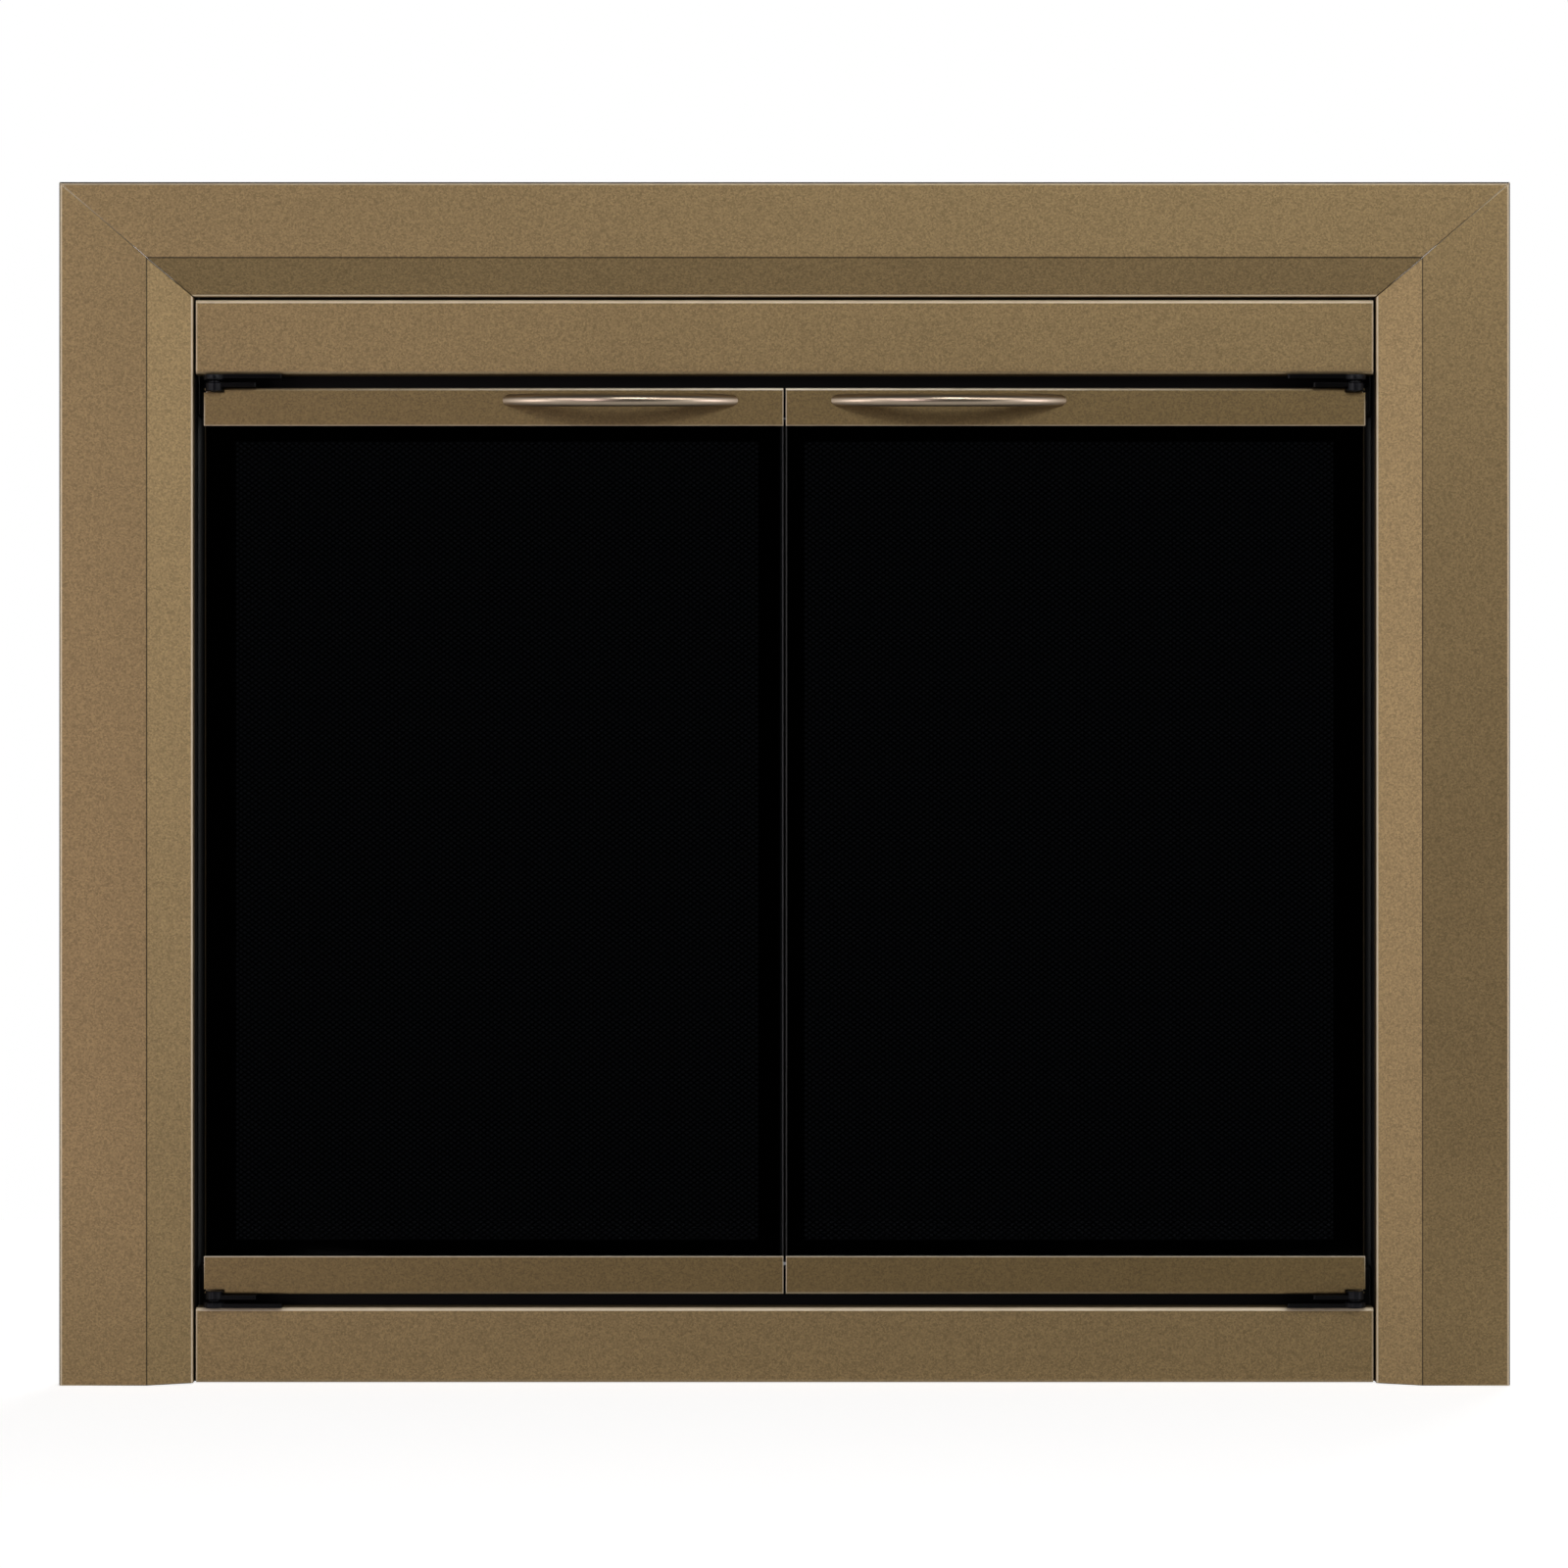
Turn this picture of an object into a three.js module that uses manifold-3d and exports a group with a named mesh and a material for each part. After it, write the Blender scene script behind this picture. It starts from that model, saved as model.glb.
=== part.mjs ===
// A fireplace glass door set: an overlap frame of folded sheet steel, two plain panels, two side-hinged
// tempered glass doors with bow handles, and a pair of framed mesh gates behind the glass.
//
// Millimetres. X runs to the right, Y runs back into the opening, Z runs up.
// The origin is on the underside of the bottom panel, in the plane of the wall, at mid width.
// The wall's face is the plane Y = 0, so what laps onto the wall has negative Y.

import * as THREE from 'three';
import { mergeVertices } from 'three/addons/utils/BufferGeometryUtils.js';
import Module from 'manifold-3d';

const wasm = await Module();
wasm.setup();

// ---------------------------------------------------------------- driving dimensions

// Overlap frame
const SET_WIDTH = 952.5;
const SET_HEIGHT = 790;
const FRAME_PROJECTION = 28; // front flat of the frame to the wall
const FRAME_SHEET = 1.5;
const FOLD_RADIUS = 2.4; // outside radius of a fold in the frame and the panels
const STILE_FLAT = 57.7;
const STILE_BEVEL = 28.6;
const RAIL_FLAT = 49.8;
const RAIL_BEVEL = 24.1;
const BEVEL_DEPTH = 15; // how far the bevel falls back from the front flat
const RETURN_DEPTH = 12; // sheet turned straight back behind the bevel
const WALL_LIP = 16; // sheet turned in flat against the wall
const FIXING_LIP = 14; // sheet turned outward to take the jamb's flange
const MITRE_GAP = 0.2;

// Clearances
const SEAT = 0.3; // between two pieces that are fixed together
const RUNNING = 0.3; // round a pin, and between two pivot bosses
const SCREW_CLEARANCE = 0.4; // radius of a screw's hole over the radius of its shank
const CUT_OVERSHOOT = 1; // how far a cut runs past the face it opens

// Panels above and below the doors
const PANEL_SETBACK = 4; // panel face behind the inner edge of the bevel
const PANEL_SIDE_GAP = 1.5;
const PANEL_TOP_GAP = 1.9;
const TOP_PANEL_HEIGHT = 49.2;
const BOTTOM_PANEL_HEIGHT = 49.4;
const PANEL_DEPTH = 20.7;
const PANEL_LIP = 10;

// Inner frame in the opening: two jambs, a head bar and a sill bar
const JAMB_SHEET = 1.5;
const JAMB_FOLD_RADIUS = 2.4;
const JAMB_DEPTH = 52;
const JAMB_FLANGE = 15.2; // front flange, behind the fixing lip of the stile
const JAMB_REAR_FLANGE = 20.8; // rear flange, closes the slit beside the gates
const BAR_SHEET = 2;
const BAR_FOLD_RADIUS = 3;
const BAR_DEPTH = 28;
const BAR_GATE_GAP = 1; // gate frame to head bar, so narrow that no daylight shows over the gates
const SILL_GATE_GAP = 2;
const SILL_FLOOR_GAP = 1;
const HEAD_BAR_TOP_RISE = 11; // above the top panel; the jambs end level with the bar and close its corners

// Doors
const DOOR_GAP = 9; // panel to door rail, taken up by the pivots
const DOOR_SIDE_GAP = 7;
const MEETING_GAP = 1.6;
const DOOR_PROUD = 1; // door rail face in front of the panel faces
const DOOR_DEPTH = 14;
const DOOR_RAIL_HEIGHT = 25;
const DOOR_RAIL_SHEET = 1.2;
const DOOR_FOLD_RADIUS = 1.6;
const GLASS_THICKNESS = 5;
const GLASS_INSERT = 11; // how far the glass goes into a rail
const LINER_WEB = 1.5;
const LINER_MOUTH = 1; // liner set in from the mouth of the rail

// Handles
const HANDLE_CENTRE = 108.3; // from the meeting line
const HANDLE_SPAN = 143; // between the bar's centres at the rail
const HANDLE_BOW = 26; // rail face to the bar's centre at mid span
const HANDLE_RADIUS = 4.3;
const HANDLE_DROP = 8; // below the top of the door
const HANDLE_STEPS = 16;
const HANDLE_SIDES = 12;
const HANDLE_END_EXTRA = 8.6; // arc of bar that is trimmed off flat at each foot
const HANDLE_SCREW_INSET = 4.5;
const HANDLE_SCREW_RADIUS = 1.7;
const HANDLE_SCREW_HEAD = 3.3;
const HANDLE_SCREW_CROWN = 2.3; // radius of the flat on top of the head
const HANDLE_SCREW_HEAD_HEIGHT = 2.2;
const HANDLE_SCREW_REACH = 4.5; // into the bar
const HANDLE_BORE_EXTRA = 0.5; // bore deeper than the screw's reach

// Door pivots
const PIVOT_INSET = 7; // axis in from the outer edge of the door
const PIVOT_FORWARD = 2; // axis in front of the door rail's face
const PIN_RADIUS = 2.5;
const PIN_STANDOUT = 0.5;
const PIN_CHAMFER = 0.6;
const FRAME_BOSS_RADIUS = 7.2;
const FRAME_BOSS_HEIGHT = 3.8;
const DOOR_BOSS_RADIUS = 5.8;
const DOOR_BOSS_HEIGHT = 7.1;
const ARM_THICKNESS = 2.8;
const ARM_FRONT = 3.5; // arm's front edge ahead of the axis
const ARM_BACK = 12; // arm's back edge behind the axis
const FRAME_ARM_LENGTH = 45;
const DOOR_ARM_LENGTH = 28;
const NOTCH_CLEARANCE = 0.6;

// Mesh gates behind the glass
const GATE_SETBACK = 12; // gate's front behind the back of the door rails
const GATE_SIDE_GAP = 7.8; // gate's outer edge to the jamb
const GATE_MEETING_GAP = 1.6;
const GATE_MEETING_OFFSET = 2.2; // gates meet this far to the left, so a bar backs the doors' seam
const GATE_RAIL_COVER = 6; // how far the door rails overlap the gate's top and bottom edges
const GATE_BOTTOM_COVER = 6.2;
const GATE_BAR = 14.5;
const GATE_DEPTH = 6;
const GATE_PIVOT_INSET = 31; // axis in from the gate's outer edge
const STUD_RADIUS = 3;
const STUD_EXTRA_LENGTH = 4; // stud beyond the far face of the bar it turns in
const SHOULDER_RADIUS = 5; // of the disc that the gate rests on
const NET_LAP = 7; // net onto the gate's bars
const NET_THICKNESS = 1.2;
const NET_COLUMNS = 5;
const NET_ROWS = 11;
const NET_STRAND = 3.4;
const KNOB_RADIUS = 6;
const KNOB_FOOT_RADIUS = 3.9;
const KNOB_NECK_RADIUS = 2.6;
const KNOB_FACE_RADIUS = 4.2;
const KNOB_LENGTH = 9;
const KNOB_NECK_LENGTH = 3.15; // foot to the narrowest of the neck
const KNOB_RIM_LENGTH = 2.25;
const KNOB_CROWN_LENGTH = 1.35; // rim to the face
const KNOB_HEIGHT = 300; // above the bottom of the gate

// Catches on the head bar
const CATCH_LENGTH = 40;
const CATCH_HEIGHT = 10;
const CATCH_FROM_MEETING = 15;
const CATCH_DROP = 1; // below the top of the door

// Fixings in the opening
const CORNER_PLATE = 2;
const CORNER_LENGTH = 90;
const CORNER_WIDTH = 38;
const CORNER_MARGIN = 2.2;
const JAMB_SCREW_RADIUS = 2;
const JAMB_SCREW_TIP = 1.2;
const JAMB_SCREW_TIP_LENGTH = 2;
const JAMB_SCREW_HEAD = 4.5;
const JAMB_SCREW_CROWN = 3.2; // radius of the flat on top of the head
const JAMB_SCREW_HEAD_HEIGHT = 2.5;
const JAMB_SCREW_LENGTH = 9;
const JAMB_SCREW_ABOVE_HEARTH = 120;
const JAMB_SCREW_BELOW_TOP = 105.2; // below the top of the jamb
const CLAMP_OFFSET = 250;
const CLAMP_WIDTH = 30;
const CLAMP_HEIGHT = 40;
const CLAMP_REACH = 32;
const CLAMP_TOP_DROP = 25.2; // clamp's shelf below the top of the head bar
const CLAMP_SHEET = 2;
const CLAMP_FOLD_RADIUS = 3;
const CLAMP_BOLT_RADIUS = 4;
const CLAMP_BOLT_BACK = 18; // bolt's axis behind the clamp's upright leg
const CLAMP_BOLT_BELOW = 24;
const CLAMP_BOLT_ABOVE = 36;
const CLAMP_HEAD_RADIUS = 7;
const CLAMP_HEAD_HEIGHT = 6;
const CLAMP_PAD_RADIUS = 11;
const CLAMP_PAD_HEIGHT = 4;
const FOOT_LENGTH = 48;
const FOOT_HEIGHT = 36;
const FOOT_WIDTH = 30;
const FOOT_BACK = 18; // foot's front edge behind the wall plane
const FOOT_SHEET = 2;
const FOOT_FOLD_RADIUS = 3;
const FOOT_HOLE_RADIUS = 3.5;
const FOOT_HOLE_INSET = 28;

// Facets
const BOSS_SIDES = 16;
const SCREW_SIDES = 10;
const HOLE_SIDES = 12;
const FOLD_STEPS = 3;

// ---------------------------------------------------------------- places that follow from them

const halfWidth = SET_WIDTH / 2;
const openingHalf = halfWidth - STILE_FLAT - STILE_BEVEL;
const openingTop = SET_HEIGHT - RAIL_FLAT - RAIL_BEVEL;
const frontY = -FRAME_PROJECTION;
const bevelY = frontY + BEVEL_DEPTH;
const returnY = bevelY + RETURN_DEPTH;

const panelHalf = openingHalf - PANEL_SIDE_GAP;
const panelY = bevelY + PANEL_SETBACK;
const panelBackY = panelY + PANEL_DEPTH;
const topPanelTop = openingTop - PANEL_TOP_GAP;
const topPanelBottom = topPanelTop - TOP_PANEL_HEIGHT;

const headBarTop = topPanelTop + HEAD_BAR_TOP_RISE;
const jambX = panelHalf + SEAT;
const jambScrewLevels = { lower: JAMB_SCREW_ABOVE_HEARTH, upper: headBarTop - JAMB_SCREW_BELOW_TOP };
const jambFlangeY = returnY + SEAT;
const barHalf = jambX - SEAT;
const barY = panelBackY + SEAT;

const doorTop = topPanelBottom - DOOR_GAP;
const doorBottom = BOTTOM_PANEL_HEIGHT + DOOR_GAP;
const doorOuter = openingHalf - DOOR_SIDE_GAP;
const doorInner = MEETING_GAP / 2;
const doorY = panelY - DOOR_PROUD;
const doorBackY = doorY + DOOR_DEPTH;
const glassFrontY = doorY + (DOOR_DEPTH - GLASS_THICKNESS) / 2;
const glassBackY = glassFrontY + GLASS_THICKNESS;
const railMouthTop = doorTop - DOOR_RAIL_HEIGHT;
const railMouthBottom = doorBottom + DOOR_RAIL_HEIGHT;

const pivotX = doorOuter - PIVOT_INSET;
const pivotY = doorY - PIVOT_FORWARD;

const gateY = doorBackY + GATE_SETBACK;
const gateMidY = gateY + GATE_DEPTH / 2;
const gateOuter = jambX - GATE_SIDE_GAP;
const gateInner = {
  right: GATE_MEETING_GAP / 2 - GATE_MEETING_OFFSET,
  left: GATE_MEETING_GAP / 2 + GATE_MEETING_OFFSET,
};
const gateTop = railMouthTop + GATE_RAIL_COVER;
const gateBottom = railMouthBottom - GATE_BOTTOM_COVER;
const gatePivotX = gateOuter - GATE_PIVOT_INSET;
const headBarBottom = gateTop + BAR_GATE_GAP;
const sillBarTop = gateBottom - SILL_GATE_GAP;

// ---------------------------------------------------------------- finishes

const finish = (color, roughness, metalness, more = {}) =>
  new THREE.MeshStandardMaterial({ color, roughness, metalness, ...more });

const champagne = () => finish(0x93805d, 0.42, 0.75);
const champagneDark = () => finish(0x78693f, 0.42, 0.75);
const handleFinish = () => finish(0x9a8b6c, 0.3, 0.85);
const blackSteel = () => finish(0x0b0a0a, 0.55, 0.4);
const blackMesh = () => finish(0x070707, 0.6, 0.3);
const zincPlate = () => finish(0xa9abad, 0.35, 0.9);
const smokedGlass = () => finish(0x0c0d0e, 0.05, 0, { transparent: true, opacity: 0.82 });
const gasketFibre = () => finish(0x1b1a18, 0.95, 0);
const blackPlastic = () => finish(0x111111, 0.6, 0);

// ---------------------------------------------------------------- mesh helpers

// Keeps positions only, welds shared vertices and turns the faces outward.
function closed(geometry) {
  const bare = new THREE.BufferGeometry();
  bare.setAttribute('position', geometry.getAttribute('position').clone());
  if (geometry.index) bare.setIndex(geometry.index.clone());
  const welded = mergeVertices(bare, 1e-4);
  const corners = welded.getAttribute('position');
  const kept = [];
  const [a, b, c] = [new THREE.Vector3(), new THREE.Vector3(), new THREE.Vector3()];
  let volume = 0;
  for (let i = 0; i < welded.index.count; i += 3) {
    const face = [0, 1, 2].map((k) => welded.index.getX(i + k));
    if (new Set(face).size < 3) continue;
    kept.push(face);
    [a, b, c].forEach((corner, k) => corner.fromBufferAttribute(corners, face[k]));
    volume += a.dot(b.cross(c));
  }
  welded.setIndex(kept.flatMap((face) => (volume < 0 ? face.reverse() : face)));
  return welded;
}

function toSolid(geometry) {
  const mesh = closed(geometry);
  const vertProperties = new Float32Array(mesh.getAttribute('position').array);
  const triVerts = new Uint32Array(mesh.index.array);
  return new wasm.Manifold(new wasm.Mesh({ numProp: 3, vertProperties, triVerts }));
}

function toGeometry(solid) {
  const mesh = solid.getMesh();
  const geometry = new THREE.BufferGeometry();
  geometry.setAttribute('position', new THREE.BufferAttribute(new Float32Array(mesh.vertProperties), 3));
  geometry.setIndex(new THREE.BufferAttribute(new Uint32Array(mesh.triVerts), 1));
  return geometry;
}

const cut = (body, tools) =>
  toGeometry(tools.reduce((left, tool) => left.subtract(toSolid(tool)), toSolid(body)));

const join = (pieces) =>
  toGeometry(pieces.map(toSolid).reduce((whole, piece) => whole.add(piece)));

// A box between two values on each axis.
function block([x0, x1], [y0, y1], [z0, z1]) {
  const box = new THREE.BoxGeometry(Math.abs(x1 - x0), Math.abs(y1 - y0), Math.abs(z1 - z0));
  return box.translate((x0 + x1) / 2, (y0 + y1) / 2, (z0 + z1) / 2);
}

// A turned piece: pairs of radius and height, standing on Z at (x, y).
function turnedUp(pairs, x, y, sides) {
  const profile = pairs.map(([radius, height]) => new THREE.Vector2(radius, height));
  return new THREE.LatheGeometry(profile, sides).rotateX(Math.PI / 2).translate(x, y, 0);
}

// A turned piece: pairs of radius and depth, lying along Y at (x, z).
function turnedBack(pairs, x, z, sides) {
  const profile = pairs.map(([radius, depth]) => new THREE.Vector2(radius, depth));
  return new THREE.LatheGeometry(profile, sides).translate(x, 0, z);
}

const discUp = (x, y, radius, low, high, sides) =>
  turnedUp([[0, low], [radius, low], [radius, high], [0, high]], x, y, sides);

const discBack = (x, z, radius, front, back, sides) =>
  turnedBack([[0, front], [radius, front], [radius, back], [0, back]], x, z, sides);

// Rounds each inner corner of an open path with an arc.
function roundFolds(path, radius) {
  const points = path.map(([u, v]) => new THREE.Vector2(u, v));
  const rounded = [points[0]];
  for (let i = 1; i < points.length - 1; i++) {
    const corner = points[i];
    const before = points[i - 1].clone().sub(corner).normalize();
    const after = points[i + 1].clone().sub(corner).normalize();
    const half = Math.acos(before.dot(after)) / 2;
    const inward = before.clone().add(after).normalize();
    const centre = inward.multiplyScalar(radius / Math.sin(half)).add(corner);
    const from = before.multiplyScalar(radius / Math.tan(half)).add(corner).sub(centre);
    const turn = (Math.PI - 2 * half) * Math.sign(from.cross(corner.clone().sub(centre)));
    for (let step = 0; step <= FOLD_STEPS; step++) {
      const angle = (turn * step) / FOLD_STEPS;
      rounded.push(from.clone().rotateAround(new THREE.Vector2(), angle).add(centre));
    }
  }
  rounded.push(points.at(-1));
  return rounded;
}

// The closed section of a folded sheet. The path is one face of the sheet, and a positive thickness
// lies to the left of it, a negative one to the right.
function foldedSection(path, thickness, radius) {
  const face = roundFolds(path, radius);
  const other = face.map((point, i) => {
    const back = point.clone().sub(face[Math.max(i - 1, 0)]);
    const ahead = face[Math.min(i + 1, face.length - 1)].clone().sub(point);
    const [first, second] = [i === 0 ? ahead : back, i === face.length - 1 ? back : ahead];
    const normals = [first, second].map((edge) => new THREE.Vector2(-edge.y, edge.x).normalize());
    const bisector = normals[0].clone().add(normals[1]).normalize();
    return bisector.multiplyScalar(thickness / bisector.dot(normals[0])).add(point);
  });
  return [...face, ...other.reverse()];
}

// A bar of constant section whose two ends are given point by point.
function barBetween(section, startAt, endAt) {
  const count = section.length;
  const caps = THREE.ShapeUtils.triangulateShape(section, []);
  const vertices = [...section.map(startAt), ...section.map(endAt)].flat();
  const faces = [];
  for (const [a, b, c] of caps) faces.push(a, b, c, c + count, b + count, a + count);
  const clockwise = THREE.ShapeUtils.isClockWise(section);
  for (let i = 0; i < count; i++) {
    const next = (i + 1) % count;
    const [from, to] = clockwise ? [next, i] : [i, next];
    faces.push(from, from + count, to, to, from + count, to + count);
  }
  const geometry = new THREE.BufferGeometry();
  geometry.setAttribute('position', new THREE.Float32BufferAttribute(vertices, 3));
  geometry.setIndex(faces);
  return geometry;
}

// Sections given as (y, z), run along X, and sections given as (x, y), run up Z.
const alongX = (section, x0, x1) =>
  barBetween(section, ({ x: y, y: z }) => [x0, y, z], ({ x: y, y: z }) => [x1, y, z]);

const alongZ = (section, z0, z1) =>
  barBetween(section, ({ x, y }) => [x, y, z0], ({ x, y }) => [x, y, z1]);

const alongY = (section, y0, y1) =>
  barBetween(section, ({ x, y: z }) => [x, y0, z], ({ x, y: z }) => [x, y1, z]);

const outline = (pairs) => pairs.map(([u, v]) => new THREE.Vector2(u, v));

// ---------------------------------------------------------------- the set, and its two sides

const set = new THREE.Group();
const frameGroup = new THREE.Group();
set.add(frameGroup);

// Each piece is drawn for the right-hand side. The left-hand one is its mirror image.
function addPiece(parent, name, geometry, material, side = 1) {
  const mirrored = side < 0 ? geometry.clone().scale(-1, 1, 1) : geometry;
  const mesh = new THREE.Mesh(closed(mirrored), material);
  mesh.name = name;
  parent.add(mesh);
}

const sides = { right: 1, left: -1 };

// ---------------------------------------------------------------- overlap frame

// Section of the frame as (distance in from the outer edge, depth).
function frameSection(flat, bevel) {
  const inner = flat + bevel;
  const path = [
    [WALL_LIP, 0],
    [0, 0],
    [0, frontY],
    [flat, frontY],
    [inner, bevelY],
    [inner, returnY],
    [inner - FIXING_LIP, returnY],
  ];
  return foldedSection(path, FRAME_SHEET, FOLD_RADIUS);
}

const stileSection = frameSection(STILE_FLAT, STILE_BEVEL);
const railSection = frameSection(RAIL_FLAT, RAIL_BEVEL);
const jambScrewX = openingHalf + FIXING_LIP / 2;

// Each point of the stile meets the same point of the rail, so the mitre follows both sections.
function makeStile() {
  const stile = barBetween(
    stileSection,
    (point) => [halfWidth - point.x, point.y, 0],
    (point, i) => [halfWidth - point.x, point.y, SET_HEIGHT - railSection[i].x - MITRE_GAP / 2],
  );
  return cut(stile, Object.values(jambScrewLevels).map((level) => jambScrewHole(level)));
}

function makeTopRail() {
  const reach = (i) => halfWidth - stileSection[i].x - MITRE_GAP / 2;
  return barBetween(
    railSection,
    (point, i) => [-reach(i), point.y, SET_HEIGHT - point.x],
    (point, i) => [reach(i), point.y, SET_HEIGHT - point.x],
  );
}

// Flat L plate that holds a mitre together behind the front flats.
function makeCornerBracket() {
  const x = halfWidth - FRAME_SHEET - CORNER_MARGIN;
  const z = SET_HEIGHT - FRAME_SHEET - CORNER_MARGIN;
  const y = frontY + FRAME_SHEET + SEAT;
  const corner = outline([
    [x, z],
    [x - CORNER_LENGTH, z],
    [x - CORNER_LENGTH, z - CORNER_WIDTH],
    [x - CORNER_WIDTH, z - CORNER_WIDTH],
    [x - CORNER_WIDTH, z - CORNER_LENGTH],
    [x, z - CORNER_LENGTH],
  ]);
  return alongY(corner, y, y + CORNER_PLATE);
}

addPiece(frameGroup, 'top_rail', makeTopRail(), champagne());
for (const [side, sign] of Object.entries(sides)) {
  addPiece(frameGroup, `${side}_stile`, makeStile(), champagne(), sign);
  addPiece(frameGroup, `${side}_corner_bracket`, makeCornerBracket(), zincPlate(), sign);
}

// ---------------------------------------------------------------- panels

function makePanel(bottom, top) {
  const path = [
    [panelBackY, top - PANEL_LIP],
    [panelBackY, top],
    [panelY, top],
    [panelY, bottom],
    [panelBackY, bottom],
    [panelBackY, bottom + PANEL_LIP],
  ];
  return alongX(foldedSection(path, FRAME_SHEET, FOLD_RADIUS), -panelHalf, panelHalf);
}

addPiece(frameGroup, 'top_panel', makePanel(topPanelBottom, topPanelTop), champagne());
addPiece(frameGroup, 'bottom_panel', makePanel(0, BOTTOM_PANEL_HEIGHT), champagne());

// ---------------------------------------------------------------- inner frame

function jambScrewHole(level) {
  const radius = JAMB_SCREW_RADIUS + SCREW_CLEARANCE;
  const front = returnY - FRAME_SHEET - SEAT;
  const back = jambFlangeY + JAMB_SHEET + SEAT;
  return discBack(jambScrewX, level, radius, front, back, HOLE_SIDES);
}

function makeJamb() {
  const rearY = JAMB_DEPTH - JAMB_SHEET;
  const path = [
    [jambX + JAMB_FLANGE, jambFlangeY],
    [jambX, jambFlangeY],
    [jambX, rearY],
    [jambX - JAMB_REAR_FLANGE, rearY],
  ];
  const jamb = alongZ(foldedSection(path, -JAMB_SHEET, JAMB_FOLD_RADIUS), 0, headBarTop);
  return cut(jamb, Object.values(jambScrewLevels).map((level) => jambScrewHole(level)));
}

function makeJambScrew(level) {
  const seatY = jambFlangeY + JAMB_SHEET + SEAT;
  const tipY = seatY - JAMB_SCREW_LENGTH;
  const screw = [
    [0, tipY],
    [JAMB_SCREW_TIP, tipY],
    [JAMB_SCREW_RADIUS, tipY + JAMB_SCREW_TIP_LENGTH],
    [JAMB_SCREW_RADIUS, seatY],
    [JAMB_SCREW_HEAD, seatY],
    [JAMB_SCREW_CROWN, seatY + JAMB_SCREW_HEAD_HEIGHT],
    [0, seatY + JAMB_SCREW_HEAD_HEIGHT],
  ];
  return turnedBack(screw, jambScrewX, level, SCREW_SIDES);
}

// Hole that a gate's stud turns in, through the shelf of a bar.
const studHole = (sign, low, high) =>
  discUp(sign * gatePivotX, gateMidY, STUD_RADIUS + RUNNING, low, high, HOLE_SIDES);

function makeHeadBar() {
  const path = [
    [barY + BAR_DEPTH, headBarBottom],
    [barY, headBarBottom],
    [barY, headBarTop],
  ];
  const bar = alongX(foldedSection(path, -BAR_SHEET, BAR_FOLD_RADIUS), -barHalf, barHalf);
  const low = headBarBottom - SEAT;
  const high = headBarBottom + BAR_SHEET + SEAT;
  return cut(bar, Object.values(sides).map((sign) => studHole(sign, low, high)));
}

function makeSillBar() {
  const path = [
    [barY, SILL_FLOOR_GAP],
    [barY, sillBarTop],
    [barY + BAR_DEPTH, sillBarTop],
  ];
  const bar = alongX(foldedSection(path, -BAR_SHEET, BAR_FOLD_RADIUS), -barHalf, barHalf);
  const low = sillBarTop - BAR_SHEET - SEAT;
  const high = sillBarTop + SEAT;
  return cut(bar, Object.values(sides).map((sign) => studHole(sign, low, high)));
}

addPiece(frameGroup, 'head_bar', makeHeadBar(), blackSteel());
addPiece(frameGroup, 'sill_bar', makeSillBar(), blackSteel());
for (const [side, sign] of Object.entries(sides)) {
  addPiece(frameGroup, `${side}_jamb`, makeJamb(), blackSteel(), sign);
  for (const [level, height] of Object.entries(jambScrewLevels)) {
    addPiece(frameGroup, `${side}_${level}_jamb_screw`, makeJambScrew(height), zincPlate(), sign);
  }
}

// ---------------------------------------------------------------- fixings in the opening

const clampShelf = headBarTop - CLAMP_TOP_DROP;
const clampLegY = barY + BAR_SHEET + SEAT;
const clampBoltY = clampLegY + CLAMP_BOLT_BACK;

// Angle on the back of the head bar that carries a bolt up to the lintel.
function makeLintelClamp() {
  const path = [
    [clampLegY, clampShelf - CLAMP_HEIGHT],
    [clampLegY, clampShelf],
    [clampLegY + CLAMP_REACH, clampShelf],
  ];
  const section = foldedSection(path, -CLAMP_SHEET, CLAMP_FOLD_RADIUS);
  const angle = alongX(section, CLAMP_OFFSET - CLAMP_WIDTH / 2, CLAMP_OFFSET + CLAMP_WIDTH / 2);
  const radius = CLAMP_BOLT_RADIUS + SCREW_CLEARANCE;
  const low = clampShelf - CLAMP_SHEET - SEAT;
  return cut(angle, [discUp(CLAMP_OFFSET, clampBoltY, radius, low, clampShelf + SEAT, HOLE_SIDES)]);
}

// Bolt with its head, lock nut and the pad that presses on the lintel.
function makeLintelBolt() {
  const nutLow = clampShelf + SEAT;
  const nutHigh = nutLow + CLAMP_HEAD_HEIGHT;
  const headLow = clampShelf - CLAMP_BOLT_BELOW;
  const padLow = clampShelf + CLAMP_BOLT_ABOVE;
  const bolt = [
    [0, headLow],
    [CLAMP_HEAD_RADIUS, headLow],
    [CLAMP_HEAD_RADIUS, headLow + CLAMP_HEAD_HEIGHT],
    [CLAMP_BOLT_RADIUS, headLow + CLAMP_HEAD_HEIGHT],
    [CLAMP_BOLT_RADIUS, nutLow],
    [CLAMP_HEAD_RADIUS, nutLow],
    [CLAMP_HEAD_RADIUS, nutHigh],
    [CLAMP_BOLT_RADIUS, nutHigh],
    [CLAMP_BOLT_RADIUS, padLow],
    [CLAMP_PAD_RADIUS, padLow],
    [CLAMP_PAD_RADIUS, padLow + CLAMP_PAD_HEIGHT],
    [0, padLow + CLAMP_PAD_HEIGHT],
  ];
  return turnedUp(bolt, CLAMP_OFFSET, clampBoltY, SCREW_SIDES);
}

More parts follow.
